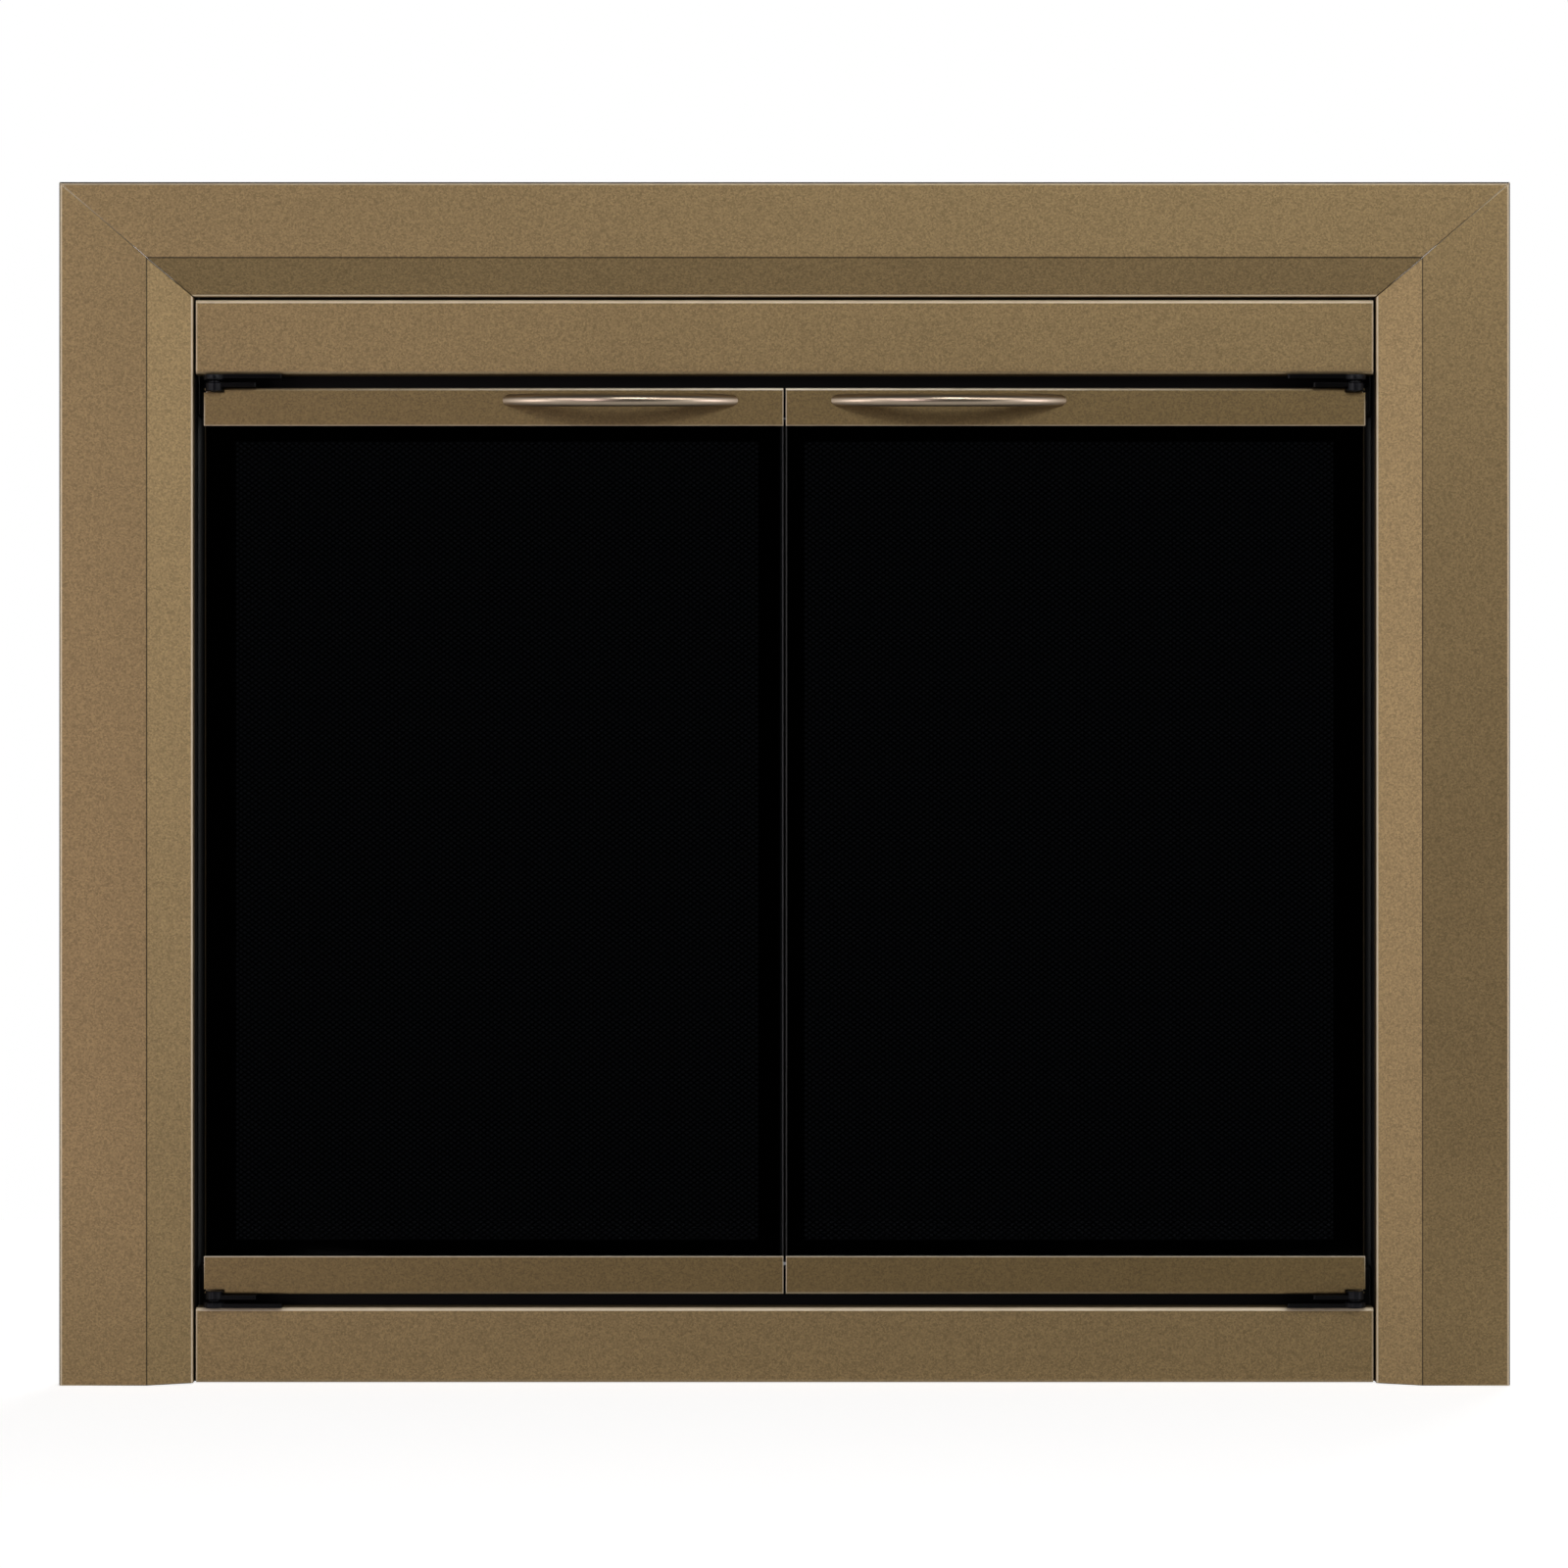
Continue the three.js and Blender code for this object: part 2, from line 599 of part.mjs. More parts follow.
// Angle at the foot of a jamb, screwed down to the hearth.
function makeFloorBracket() {
  const wallX = jambX - SEAT;
  const path = [
    [wallX - FOOT_LENGTH, 0],
    [wallX, 0],
    [wallX, FOOT_HEIGHT],
  ];
  const section = foldedSection(path, FOOT_SHEET, FOOT_FOLD_RADIUS);
  const angle = alongY(section, FOOT_BACK, FOOT_BACK + FOOT_WIDTH);
  const middle = FOOT_BACK + FOOT_WIDTH / 2;
  const holeX = wallX - FOOT_HOLE_INSET;
  return cut(angle, [discUp(holeX, middle, FOOT_HOLE_RADIUS, -SEAT, FOOT_SHEET + SEAT, HOLE_SIDES)]);
}

// Magnetic catch that the top rail of a door closes against.
function makeCatch() {
  const top = doorTop - CATCH_DROP;
  const from = CATCH_FROM_MEETING;
  return block([from, from + CATCH_LENGTH], [doorBackY + SEAT, barY - SEAT], [top - CATCH_HEIGHT, top]);
}

for (const [side, sign] of Object.entries(sides)) {
  addPiece(frameGroup, `${side}_lintel_clamp`, makeLintelClamp(), zincPlate(), sign);
  addPiece(frameGroup, `${side}_lintel_bolt`, makeLintelBolt(), zincPlate(), sign);
  addPiece(frameGroup, `${side}_floor_bracket`, makeFloorBracket(), zincPlate(), sign);
  addPiece(frameGroup, `${side}_catch`, makeCatch(), blackPlastic(), sign);
}

// ---------------------------------------------------------------- door pivots

// A pivot sits in the gap between a panel and a door. Its levels are counted from the panel's edge
// towards the door, so the upper and the lower one are mirror images.
const pivotEnds = {
  upper: (level) => topPanelBottom - level,
  lower: (level) => BOTTOM_PANEL_HEIGHT + level,
};
const frameBossLow = SEAT + FRAME_BOSS_HEIGHT;
const doorBossHigh = frameBossLow + RUNNING;
const doorBossLow = doorBossHigh + DOOR_BOSS_HEIGHT;
const doorArmLow = DOOR_GAP - SEAT;

// An arm with a round boss at the axis, bored for the pin.
function makePivotArm(place, bossRadius, bossLevels, armLevels, armLength) {
  const boss = discUp(pivotX, pivotY, bossRadius, ...bossLevels.map(place), BOSS_SIDES);
  const span = [pivotX - armLength, pivotX];
  const arm = block(span, [pivotY - ARM_FRONT, pivotY + ARM_BACK], armLevels.map(place));
  const ends = [bossLevels[0] - CUT_OVERSHOOT, bossLevels[1] + CUT_OVERSHOOT].map(place);
  const bore = discUp(pivotX, pivotY, PIN_RADIUS + RUNNING, ...ends, HOLE_SIDES);
  return cut(join([boss, arm]), [bore]);
}

function makeFramePivot(place) {
  const armLevels = [SEAT, SEAT + ARM_THICKNESS];
  return makePivotArm(place, FRAME_BOSS_RADIUS, [SEAT, frameBossLow], armLevels, FRAME_ARM_LENGTH);
}

function makeDoorPivot(place) {
  const bossLevels = [doorBossHigh, doorBossLow];
  const armLevels = [doorArmLow - ARM_THICKNESS, doorArmLow];
  return makePivotArm(place, DOOR_BOSS_RADIUS, bossLevels, armLevels, DOOR_ARM_LENGTH);
}

function makePivotPin(place) {
  const [first, last] = [SEAT - PIN_STANDOUT, doorBossLow + PIN_STANDOUT];
  const pin = [
    [0, first],
    [PIN_RADIUS - PIN_CHAMFER, first],
    [PIN_RADIUS, first + PIN_CHAMFER],
    [PIN_RADIUS, last - PIN_CHAMFER],
    [PIN_RADIUS - PIN_CHAMFER, last],
    [0, last],
  ];
  return turnedUp(pin.map(([radius, level]) => [radius, place(level)]), pivotX, pivotY, BOSS_SIDES);
}

for (const [side, sign] of Object.entries(sides)) {
  for (const [end, place] of Object.entries(pivotEnds)) {
    addPiece(frameGroup, `${side}_${end}_frame_pivot`, makeFramePivot(place), blackSteel(), sign);
  }
}

// ---------------------------------------------------------------- glass doors

const handleZ = doorTop - HANDLE_DROP;
const handleArc = (HANDLE_SPAN ** 2 / 4 + HANDLE_BOW ** 2) / (2 * HANDLE_BOW);
const handleScrewOffset = HANDLE_SPAN / 2 - HANDLE_SCREW_INSET;
const handleScrews = {
  inner: HANDLE_CENTRE - handleScrewOffset,
  outer: HANDLE_CENTRE + handleScrewOffset,
};

// Channel that grips an edge of the glass. Its web faces the panel and its mouth faces the glass.
function makeDoorRail(place) {
  const path = [
    [doorBackY, place(DOOR_GAP + DOOR_RAIL_HEIGHT)],
    [doorBackY, place(DOOR_GAP)],
    [doorY, place(DOOR_GAP)],
    [doorY, place(DOOR_GAP + DOOR_RAIL_HEIGHT)],
  ];
  const thickness = place(0) > place(1) ? DOOR_RAIL_SHEET : -DOOR_RAIL_SHEET;
  return alongX(foldedSection(path, thickness, DOOR_FOLD_RADIUS), doorInner, doorOuter);
}

// Room for the door's pivot boss in the outer corner of a rail.
function pivotNotch(place) {
  const reach = DOOR_BOSS_RADIUS + NOTCH_CLEARANCE;
  const levels = [DOOR_GAP - CUT_OVERSHOOT, doorBossLow + NOTCH_CLEARANCE].map(place);
  const across = [pivotX - reach, doorOuter + CUT_OVERSHOOT];
  return block(across, [doorY - CUT_OVERSHOOT, pivotY + reach], levels);
}

// Hole for a handle screw, between two depths.
const handleScrewHole = (x, front, back) =>
  discBack(x, handleZ, HANDLE_SCREW_RADIUS + SCREW_CLEARANCE, front, back, HOLE_SIDES);

function makeTopDoorRail() {
  const front = doorY - CUT_OVERSHOOT;
  const back = doorY + DOOR_RAIL_SHEET + CUT_OVERSHOOT;
  const holes = Object.values(handleScrews).map((x) => handleScrewHole(x, front, back));
  return cut(makeDoorRail(pivotEnds.upper), [pivotNotch(pivotEnds.upper), ...holes]);
}

const makeBottomDoorRail = () => cut(makeDoorRail(pivotEnds.lower), [pivotNotch(pivotEnds.lower)]);

const makeGlass = () =>
  block([doorInner, doorOuter], [glassFrontY, glassBackY],
    [railMouthBottom - GLASS_INSERT, railMouthTop + GLASS_INSERT]);

// Fibre liner folded round the edge of the glass, inside a rail.
function makeLiner(place) {
  const mouth = place(DOOR_GAP + DOOR_RAIL_HEIGHT - LINER_MOUTH);
  const glassEdge = place(DOOR_GAP + DOOR_RAIL_HEIGHT - GLASS_INSERT - SEAT);
  const web = place(DOOR_GAP + DOOR_RAIL_HEIGHT - GLASS_INSERT - SEAT - LINER_WEB);
  const [outFront, outBack] = [doorY + DOOR_RAIL_SHEET + SEAT, doorBackY - DOOR_RAIL_SHEET - SEAT];
  const [inFront, inBack] = [glassFrontY - SEAT, glassBackY + SEAT];
  const section = outline([
    [outFront, mouth],
    [outFront, web],
    [outBack, web],
    [outBack, mouth],
    [inBack, mouth],
    [inBack, glassEdge],
    [inFront, glassEdge],
    [inFront, mouth],
  ]);
  return alongX(section, doorInner, doorOuter);
}

// Round bar bent to an arc, its two ends cut flat where they meet the rail.
function makeHandle() {
  const centreY = doorY - HANDLE_BOW + handleArc;
  const half = Math.asin(HANDLE_SPAN / 2 / handleArc) + HANDLE_END_EXTRA / handleArc;
  const arc = [];
  for (let step = 0; step <= HANDLE_STEPS; step++) {
    const angle = half * ((2 * step) / HANDLE_STEPS - 1);
    const x = HANDLE_CENTRE + handleArc * Math.sin(angle);
    arc.push(new THREE.Vector3(x, centreY - handleArc * Math.cos(angle), handleZ));
  }
  const section = new THREE.Shape();
  section.absarc(0, 0, HANDLE_RADIUS, 0, 2 * Math.PI);
  const bar = new THREE.ExtrudeGeometry(section, {
    steps: HANDLE_STEPS,
    curveSegments: HANDLE_SIDES / 2,
    extrudePath: new THREE.CatmullRomCurve3(arc),
  });
  const feet = doorY - SEAT;
  const reach = HANDLE_SPAN;
  const across = [HANDLE_CENTRE - reach, HANDLE_CENTRE + reach];
  const trim = block(across, [feet, feet + reach], [handleZ - reach, handleZ + reach]);
  const depth = feet - HANDLE_SCREW_REACH - HANDLE_BORE_EXTRA;
  const bores = Object.values(handleScrews).map((x) => handleScrewHole(x, depth, feet + CUT_OVERSHOOT));
  return cut(bar, [trim, ...bores]);
}

function makeHandleScrew(x) {
  const seatY = doorY + DOOR_RAIL_SHEET + SEAT;
  const tipY = doorY - SEAT - HANDLE_SCREW_REACH;
  const screw = [
    [0, tipY],
    [HANDLE_SCREW_RADIUS, tipY],
    [HANDLE_SCREW_RADIUS, seatY],
    [HANDLE_SCREW_HEAD, seatY],
    [HANDLE_SCREW_CROWN, seatY + HANDLE_SCREW_HEAD_HEIGHT],
    [0, seatY + HANDLE_SCREW_HEAD_HEIGHT],
  ];
  return turnedBack(screw, x, handleZ, SCREW_SIDES);
}

for (const [side, sign] of Object.entries(sides)) {
  const door = new THREE.Group();
  set.add(door);
  addPiece(door, `${side}_glass`, makeGlass(), smokedGlass(), sign);
  addPiece(door, `${side}_door_top_rail`, makeTopDoorRail(), champagneDark(), sign);
  addPiece(door, `${side}_door_bottom_rail`, makeBottomDoorRail(), champagneDark(), sign);
  addPiece(door, `${side}_glass_top_liner`, makeLiner(pivotEnds.upper), gasketFibre(), sign);
  addPiece(door, `${side}_glass_bottom_liner`, makeLiner(pivotEnds.lower), gasketFibre(), sign);
  addPiece(door, `${side}_handle`, makeHandle(), handleFinish(), sign);
  for (const [place, x] of Object.entries(handleScrews)) {
    addPiece(door, `${side}_handle_${place}_screw`, makeHandleScrew(x), zincPlate(), sign);
  }
  for (const [end, place] of Object.entries(pivotEnds)) {
    addPiece(door, `${side}_${end}_door_pivot`, makeDoorPivot(place), blackSteel(), sign);
    addPiece(door, `${side}_${end}_pivot_pin`, makePivotPin(place), blackSteel(), sign);
  }
}

// ---------------------------------------------------------------- mesh gates

const meshOuter = gateOuter - GATE_BAR;
const meshBottom = gateBottom + GATE_BAR;
const meshTop = gateTop - GATE_BAR;

// Four welded bars, with the two studs that the gate turns on. The gate runs out from x = inner.
function makeGateFrame(inner) {
  const back = gateY + GATE_DEPTH;
  const outer = block([inner, gateOuter], [gateY, back], [gateBottom, gateTop]);
  const depths = [gateY - CUT_OVERSHOOT, back + CUT_OVERSHOOT];
  const window = block([inner + GATE_BAR, meshOuter], depths, [meshBottom, meshTop]);
  const studTop = headBarBottom + BAR_SHEET + STUD_EXTRA_LENGTH;
  const studBottom = sillBarTop - BAR_SHEET - STUD_EXTRA_LENGTH;
  const disc = (radius, low, high) => discUp(gatePivotX, gateMidY, radius, low, high, BOSS_SIDES);
  const upper = disc(STUD_RADIUS, gateTop - GATE_BAR / 2, studTop);
  const lower = disc(STUD_RADIUS, studBottom, gateBottom + GATE_BAR / 2);
  const shoulder = disc(SHOULDER_RADIUS, sillBarTop + SEAT, gateBottom);
  return join([cut(outer, [window]), upper, lower, shoulder]);
}

// One gap of the net: a diamond, or the half of one where it meets the border at x = meshInner.
function netGap(x, z, halfX, halfZ, meshInner, [front, back]) {
  const corners = [[x + halfX, z], [x, z + halfZ], [x - halfX, z], [x, z - halfZ]];
  const within = ([u, v]) =>
    u > meshInner - SEAT && u < meshOuter + SEAT && v > meshBottom - SEAT && v < meshTop + SEAT;
  return alongY(outline(corners.filter(within)), front - CUT_OVERSHOOT, back + CUT_OVERSHOOT);
}

// Flattened expanded metal: staggered rows of diamonds with their long axis level.
function makeNet(inner) {
  const meshInner = inner + GATE_BAR;
  const pitchX = (meshOuter - meshInner) / NET_COLUMNS;
  const pitchZ = (meshTop - meshBottom) / NET_ROWS;
  const slope = Math.hypot(pitchX, pitchZ);
  const halfX = pitchX / 2 - (NET_STRAND / 2) * (slope / pitchZ);
  const halfZ = pitchZ / 2 - (NET_STRAND / 2) * (slope / pitchX);
  const front = gateY + GATE_DEPTH + SEAT;
  const depths = [front, front + NET_THICKNESS];
  const gaps = [];
  for (let row = 0; row <= 2 * NET_ROWS; row++) {
    const stagger = row % 2 === 1 ? 0.5 : 0;
    for (let column = stagger; column <= NET_COLUMNS; column++) {
      const corner = row % (2 * NET_ROWS) === 0 && column % NET_COLUMNS === 0;
      if (corner) continue;
      const x = meshInner + column * pitchX;
      const z = meshBottom + (row * pitchZ) / 2;
      gaps.push(netGap(x, z, halfX, halfZ, meshInner, depths));
    }
  }
  const across = [meshInner - NET_LAP, meshOuter + NET_LAP];
  return cut(block(across, depths, [meshBottom - NET_LAP, meshTop + NET_LAP]), gaps);
}

function makeKnob(inner) {
  const seatY = gateY - SEAT;
  const front = seatY - KNOB_LENGTH;
  const rim = front + KNOB_CROWN_LENGTH;
  const knob = [
    [0, seatY],
    [KNOB_FOOT_RADIUS, seatY],
    [KNOB_NECK_RADIUS, seatY - KNOB_NECK_LENGTH],
    [KNOB_RADIUS, rim + KNOB_RIM_LENGTH],
    [KNOB_RADIUS, rim],
    [KNOB_FACE_RADIUS, front],
    [0, front],
  ];
  return turnedBack(knob, inner + GATE_BAR / 2, gateBottom + KNOB_HEIGHT, BOSS_SIDES);
}

for (const [side, sign] of Object.entries(sides)) {
  const gate = new THREE.Group();
  set.add(gate);
  const inner = gateInner[side];
  addPiece(gate, `${side}_gate_frame`, makeGateFrame(inner), blackSteel(), sign);
  addPiece(gate, `${side}_gate_mesh`, makeNet(inner), blackMesh(), sign);
  addPiece(gate, `${side}_gate_knob`, makeKnob(inner), blackSteel(), sign);
}

export default set;
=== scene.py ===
# %% [markdown]
# A fireplace glass door set is a picture frame of folded sheet steel that laps over the opening of a
# fireplace. Two glass doors hang inside it on small pivots, and two framed mesh gates stand behind the
# glass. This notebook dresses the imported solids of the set, piece by piece, as a maker would finish them.
# The solids already have their true size and place, so each dressed piece is drawn in the same
# millimetres and takes the place of its plain solid. It then rides on the same moving body.

# %% Load the plain solids
import math

import bmesh
import bpy
from mathutils import Matrix, Vector


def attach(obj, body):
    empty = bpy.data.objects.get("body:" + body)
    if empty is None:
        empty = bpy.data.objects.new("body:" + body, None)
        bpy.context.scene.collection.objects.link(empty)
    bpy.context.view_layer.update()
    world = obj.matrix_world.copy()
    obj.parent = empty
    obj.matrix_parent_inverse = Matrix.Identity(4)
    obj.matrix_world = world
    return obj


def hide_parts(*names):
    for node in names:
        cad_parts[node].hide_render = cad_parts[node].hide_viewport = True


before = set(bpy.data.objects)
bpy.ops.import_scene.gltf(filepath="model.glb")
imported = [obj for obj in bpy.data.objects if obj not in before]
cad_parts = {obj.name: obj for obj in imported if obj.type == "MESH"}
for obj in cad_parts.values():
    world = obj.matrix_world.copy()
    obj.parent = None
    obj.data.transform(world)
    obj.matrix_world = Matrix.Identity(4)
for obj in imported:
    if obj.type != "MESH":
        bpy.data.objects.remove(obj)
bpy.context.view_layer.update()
MM = 0.001  # the pieces are drawn in millimetres and stored in metres

# %% [markdown]
# ## Finishes
# A finish is seen through small differences: flakes in the lacquer, a soft drift of tone over a long
# sheet, rubbed folds where a cloth has polished the edge. Several finishes share these effects, so each
# effect is a node group that is built once and placed in a material with values of its own. The groups
# read the object's own coordinates, so a pattern stays on its piece when a door swings.

# %% Helpers for node groups
def new_group(name, inputs, outputs):
    """A shader group with named inputs (title, default number) and named number outputs."""
    group = bpy.data.node_groups.new(name, "ShaderNodeTree")
    for title, default in inputs:
        socket = group.interface.new_socket(title, in_out="INPUT", socket_type="NodeSocketFloat")
        socket.default_value = default
    for title in outputs:
        group.interface.new_socket(title, in_out="OUTPUT", socket_type="NodeSocketFloat")
    return group, group.nodes.new("NodeGroupInput").outputs, group.nodes.new("NodeGroupOutput").inputs


def feed(tree, node, inputs):
    """Feeds a node's inputs, each from another node's output or with a plain number or colour."""
    for title, source in inputs.items():
        if isinstance(source, (int, float, tuple)):
            node.inputs[title].default_value = source
        else:
            tree.links.new(source, node.inputs[title])


def add(tree, kind, inputs=None, **settings):
    """Adds a node with its settings, and feeds its inputs."""
    node = tree.nodes.new(kind)
    for key, value in settings.items():
        setattr(node, key, value)
    feed(tree, node, inputs or {})
    return node


def reckon(tree, operation, *terms):
    """One step of arithmetic between sockets and numbers."""
    return add(tree, "ShaderNodeMath", dict(enumerate(terms)), operation=operation).outputs[0]


def remap(tree, source, low, high, to_low=0.0, to_high=1.0):
    """Stretches a value from one range to another, with soft ends."""
    inputs = {"Value": source, "From Min": low, "From Max": high, "To Min": to_low, "To Max": to_high}
    return add(tree, "ShaderNodeMapRange", inputs, interpolation_type="SMOOTHSTEP").outputs["Result"]


def swing(tree, source, middle, strength, around):
    """A value that swings around another as the source swings around its middle."""
    departure = reckon(tree, "SUBTRACT", source, middle)
    return reckon(tree, "ADD", reckon(tree, "MULTIPLY", departure, strength), around)


def own_place(tree):
    """The point on the piece, in metres, in the piece's own coordinates."""
    return add(tree, "ShaderNodeTexCoord").outputs["Object"]


def noise(tree, scale, detail, **more):
    """A cloudy pattern on the piece, with values from 0 to 1."""
    inputs = {"Vector": own_place(tree), "Scale": scale, "Detail": detail, **more}
    return add(tree, "ShaderNodeTexNoise", inputs).outputs["Fac"]

# %% [markdown]
# The champagne lacquer is a powder coat with fine metal flakes. Close up it is a crowd of lighter and
# darker specks, each well under a millimetre. A Voronoi texture gives every speck a tone of its own, and
# a finer noise blurs the crowd a little. Tones are given as a factor around 1, so a material only has to
# multiply its colour by them.

# %% Effect: metal flakes
def build_flakes():
    group, given, out = new_group("Flakes", [("Per Metre", 1500.0), ("Strength", 0.1)], ["Tone", "Height"])
    specks = add(group, "ShaderNodeTexVoronoi", {"Vector": own_place(group), "Scale": given["Per Metre"]})
    tone = add(group, "ShaderNodeSeparateColor", {0: specks.outputs["Color"]}).outputs[0]
    mixed = reckon(group, "MULTIPLY_ADD", tone, 0.5, reckon(group, "MULTIPLY", noise(group, 600.0, 2.0), 0.5))
    group.links.new(swing(group, mixed, 0.5, given["Strength"], 1.0), out["Tone"])
    group.links.new(mixed, out["Height"])
    return group


FLAKES = build_flakes()
print("effect:", FLAKES.name)

# %% [markdown]
# A long sheet is never quite even. Sprayed coats drift in tone over a hand's width, and the sheet itself
# has faint waves from the folding press. One slow noise serves both: its tone tints the colour by a few
# parts in a hundred, and its height bends the reflections very slightly.

# %% Effect: slow drift
def build_drift():
    group, given, out = new_group("Drift", [("Per Metre", 6.0), ("Strength", 0.08)], ["Tone", "Height"])
    slow = noise(group, given["Per Metre"], 3.0, Roughness=0.55)
    group.links.new(swing(group, slow, 0.5, given["Strength"], 1.0), out["Tone"])
    group.links.new(slow, out["Height"])
    return group


DRIFT = build_drift()
print("effect:", DRIFT.name)

# %% [markdown]
# Handling and dusting polish a coat first where the sheet is folded and where it ends, and these pale
# edges are also a painted highlight for the light that such edges catch. Every piece below carries a
# number at each corner of its mesh. It is 1 on such an edge, 0 on the flats, and below 0 where painted
# shade darkens creases and folds that turn away from the light. Reading it is cheaper and steadier
# than asking the renderer to find edges. A noise breaks the mask up, because real wear comes and goes.

# %% Effect: rubbed edges
def build_edge_wear_and_light():
    group, given, out = new_group("Edge wear, painted highlight and shade", [("Amount", 0.5)], ["Mask", "Painted shade"])
    rub_highlight_shade = add(group, "ShaderNodeAttribute", attribute_name="rub_highlight_shade").outputs["Fac"]
    patchy = remap(group, noise(group, 70.0, 4.0), 0.3, 0.62, 0.85, 1.0)
    broken = reckon(group, "MULTIPLY", rub_highlight_shade, patchy)
    group.links.new(reckon(group, "MULTIPLY", broken, given["Amount"]), out["Mask"])
    group.links.new(reckon(group, "MULTIPLY", rub_highlight_shade, -1.0), out["Painted shade"])
    return group


EDGE_WEAR_AND_LIGHT = build_edge_wear_and_light()
print("effect:", EDGE_WEAR_AND_LIGHT.name)

# %% [markdown]
# Ledges in a fireplace gather a little dust. It lies where a surface faces up, so the mask starts from
# the upward part of the surface's direction and is thinned by a noise.

# %% Effect: dust on ledges
def build_dust():
    group, given, out = new_group("Dust", [("Amount", 0.2)], ["Mask"])
    facing = add(group, "ShaderNodeNewGeometry").outputs["Normal"]
    upward = add(group, "ShaderNodeSeparateXYZ", {0: facing}).outputs["Z"]
    specks = remap(group, noise(group, 160.0, 5.0), 0.35, 0.7, 0.2, 1.0)
    lying = reckon(group, "MULTIPLY", remap(group, upward, 0.55, 0.95), specks)
    group.links.new(reckon(group, "MULTIPLY", lying, given["Amount"]), out["Mask"])
    return group


DUST = build_dust()
print("effect:", DUST.name)

# %% [markdown]
# Paint on folded steel has a fine orange-peel skin, and cast or plated parts have a coarser one. The
# skin group gives a height for a Bump node and a roughness that varies with it, so that highlights
# break up softly and don't slide over the metal as on glass.

# %% Effect: paint skin
def build_skin():
    group, given, out = new_group(
        "Skin", [("Per Metre", 900.0), ("Roughness", 0.4), ("Spread", 0.08)], ["Height", "Roughness"])
    peel = noise(group, given["Per Metre"], 3.0)
    both = reckon(group, "ADD", peel, noise(group, 22.0, 4.0))
    group.links.new(peel, out["Height"])
    group.links.new(swing(group, both, 1.0, given["Spread"], given["Roughness"]), out["Roughness"])
    return group


SKIN = build_skin()
print("effect:", SKIN.name)

# %% [markdown]
# The materials themselves follow one recipe. The base colour is multiplied by the flakes and by the
# drift. It moves towards a paler tone on polished edges, which is also a painted highlight, towards a
# dark painted shade in creases and on folds turned from the light, and towards grey where dust lies.
# Polishing also takes most of the metallic top coat off the champagne pieces' edges, so that this
# painted highlight stays paler and duller under any lamp.
# The skin drives roughness and bump. A value that is the same all over is set on the Principled shader's
# own socket. So is the metal's share where the pale edges leave it as it is.

# %% The recipe for painted and plated metal
def colour(red, green, blue):
    """A colour as an eye reads it on screen, 0 to 255, turned into light."""
    def light(value):
        value /= 255
        return value / 12.92 if value <= 0.04045 else ((value + 0.055) / 1.055) ** 2.4
    return (light(red), light(green), light(blue), 1.0)


def blended(tree, mask, below, above, blend="MIX"):
    """Mixes two colours by a mask. Each colour is a socket or four numbers."""
    colours = {"Factor": mask, 6: below, 7: above}  # inputs 6 and 7 of a Mix node are its two colours
    return add(tree, "ShaderNodeMix", colours, data_type="RGBA", blend_type=blend).outputs[2]


def bumped(tree, height, strength, distance, **more):
    """The surface's direction, bent by a height that rises by the distance, in metres."""
    inputs = {"Height": height, "Strength": strength, "Distance": distance, **more}
    return add(tree, "ShaderNodeBump", inputs).outputs["Normal"]


def grouped(tree, group, **values):
    """Places an effect in a material with values of its own."""
    inputs = {title.replace("_", " "): value for title, value in values.items()}
    return add(tree, "ShaderNodeGroup", inputs, node_tree=group).outputs


def new_material(name):
    """A material with nodes, its node tree and its Principled shader."""
    material = bpy.data.materials.new(name)
    material.use_nodes = True
    return material, material.node_tree, material.node_tree.nodes["Principled BSDF"]


# A dark painted shade for creases and for folds turned from the light, and the grey of dust.
PAINTED_SHADE, DUST_GREY = colour(30, 24, 17), colour(150, 146, 140)


def metal_finish(name, base, polish_highlight_colour, metallic, roughness, flakes, drift, skin=(900.0, 0.08), bump=0.06,
                 wave=0.0, rub_highlight_shade=0.5, dust=0.1, edge_metal_share=1.0, sheen=0.5):
    """A painted or plated metal made from the five effects. Flakes, drift and skin are pairs of scale
    and strength, wave is a height in metres, and the edge metal share is what a pale edge of polish
    and painted highlight keeps of the metal. Creases get a painted shade."""
    material, tree, shader = new_material(name)
    flake = grouped(tree, FLAKES, Per_Metre=flakes[0], Strength=flakes[1])
    slow = grouped(tree, DRIFT, Per_Metre=drift[0], Strength=drift[1])
    peel = grouped(tree, SKIN, Per_Metre=skin[0], Roughness=roughness, Spread=skin[1])
    wear_highlight_shade = grouped(tree, EDGE_WEAR_AND_LIGHT, Amount=rub_highlight_shade)
    lying = grouped(tree, DUST, Amount=dust)["Mask"]
    toned = blended(tree, 1.0, base, reckon(tree, "MULTIPLY", flake["Tone"], slow["Tone"]), "MULTIPLY")
    # Pale edges are polished coat and a painted highlight; the dark mix below is painted shade in creases.
    polished_and_highlit = blended(tree, wear_highlight_shade["Mask"], toned, polish_highlight_colour)
    with_painted_shade = blended(tree, wear_highlight_shade["Painted shade"], polished_and_highlit, PAINTED_SHADE)
    metal = remap(tree, wear_highlight_shade["Mask"], 0.0, 1.0, metallic, metallic * edge_metal_share) if edge_metal_share < 1 else metallic
    under = {"Normal": bumped(tree, slow["Height"], 1.0, wave)} if wave else {}
    feed(tree, shader, {"Base Color": blended(tree, lying, with_painted_shade, DUST_GREY), "Metallic": metal,
                        "Roughness": peel["Roughness"], "Specular IOR Level": sheen,
                        "Normal": bumped(tree, peel["Height"], bump, 0.0002, **under)})
    return material
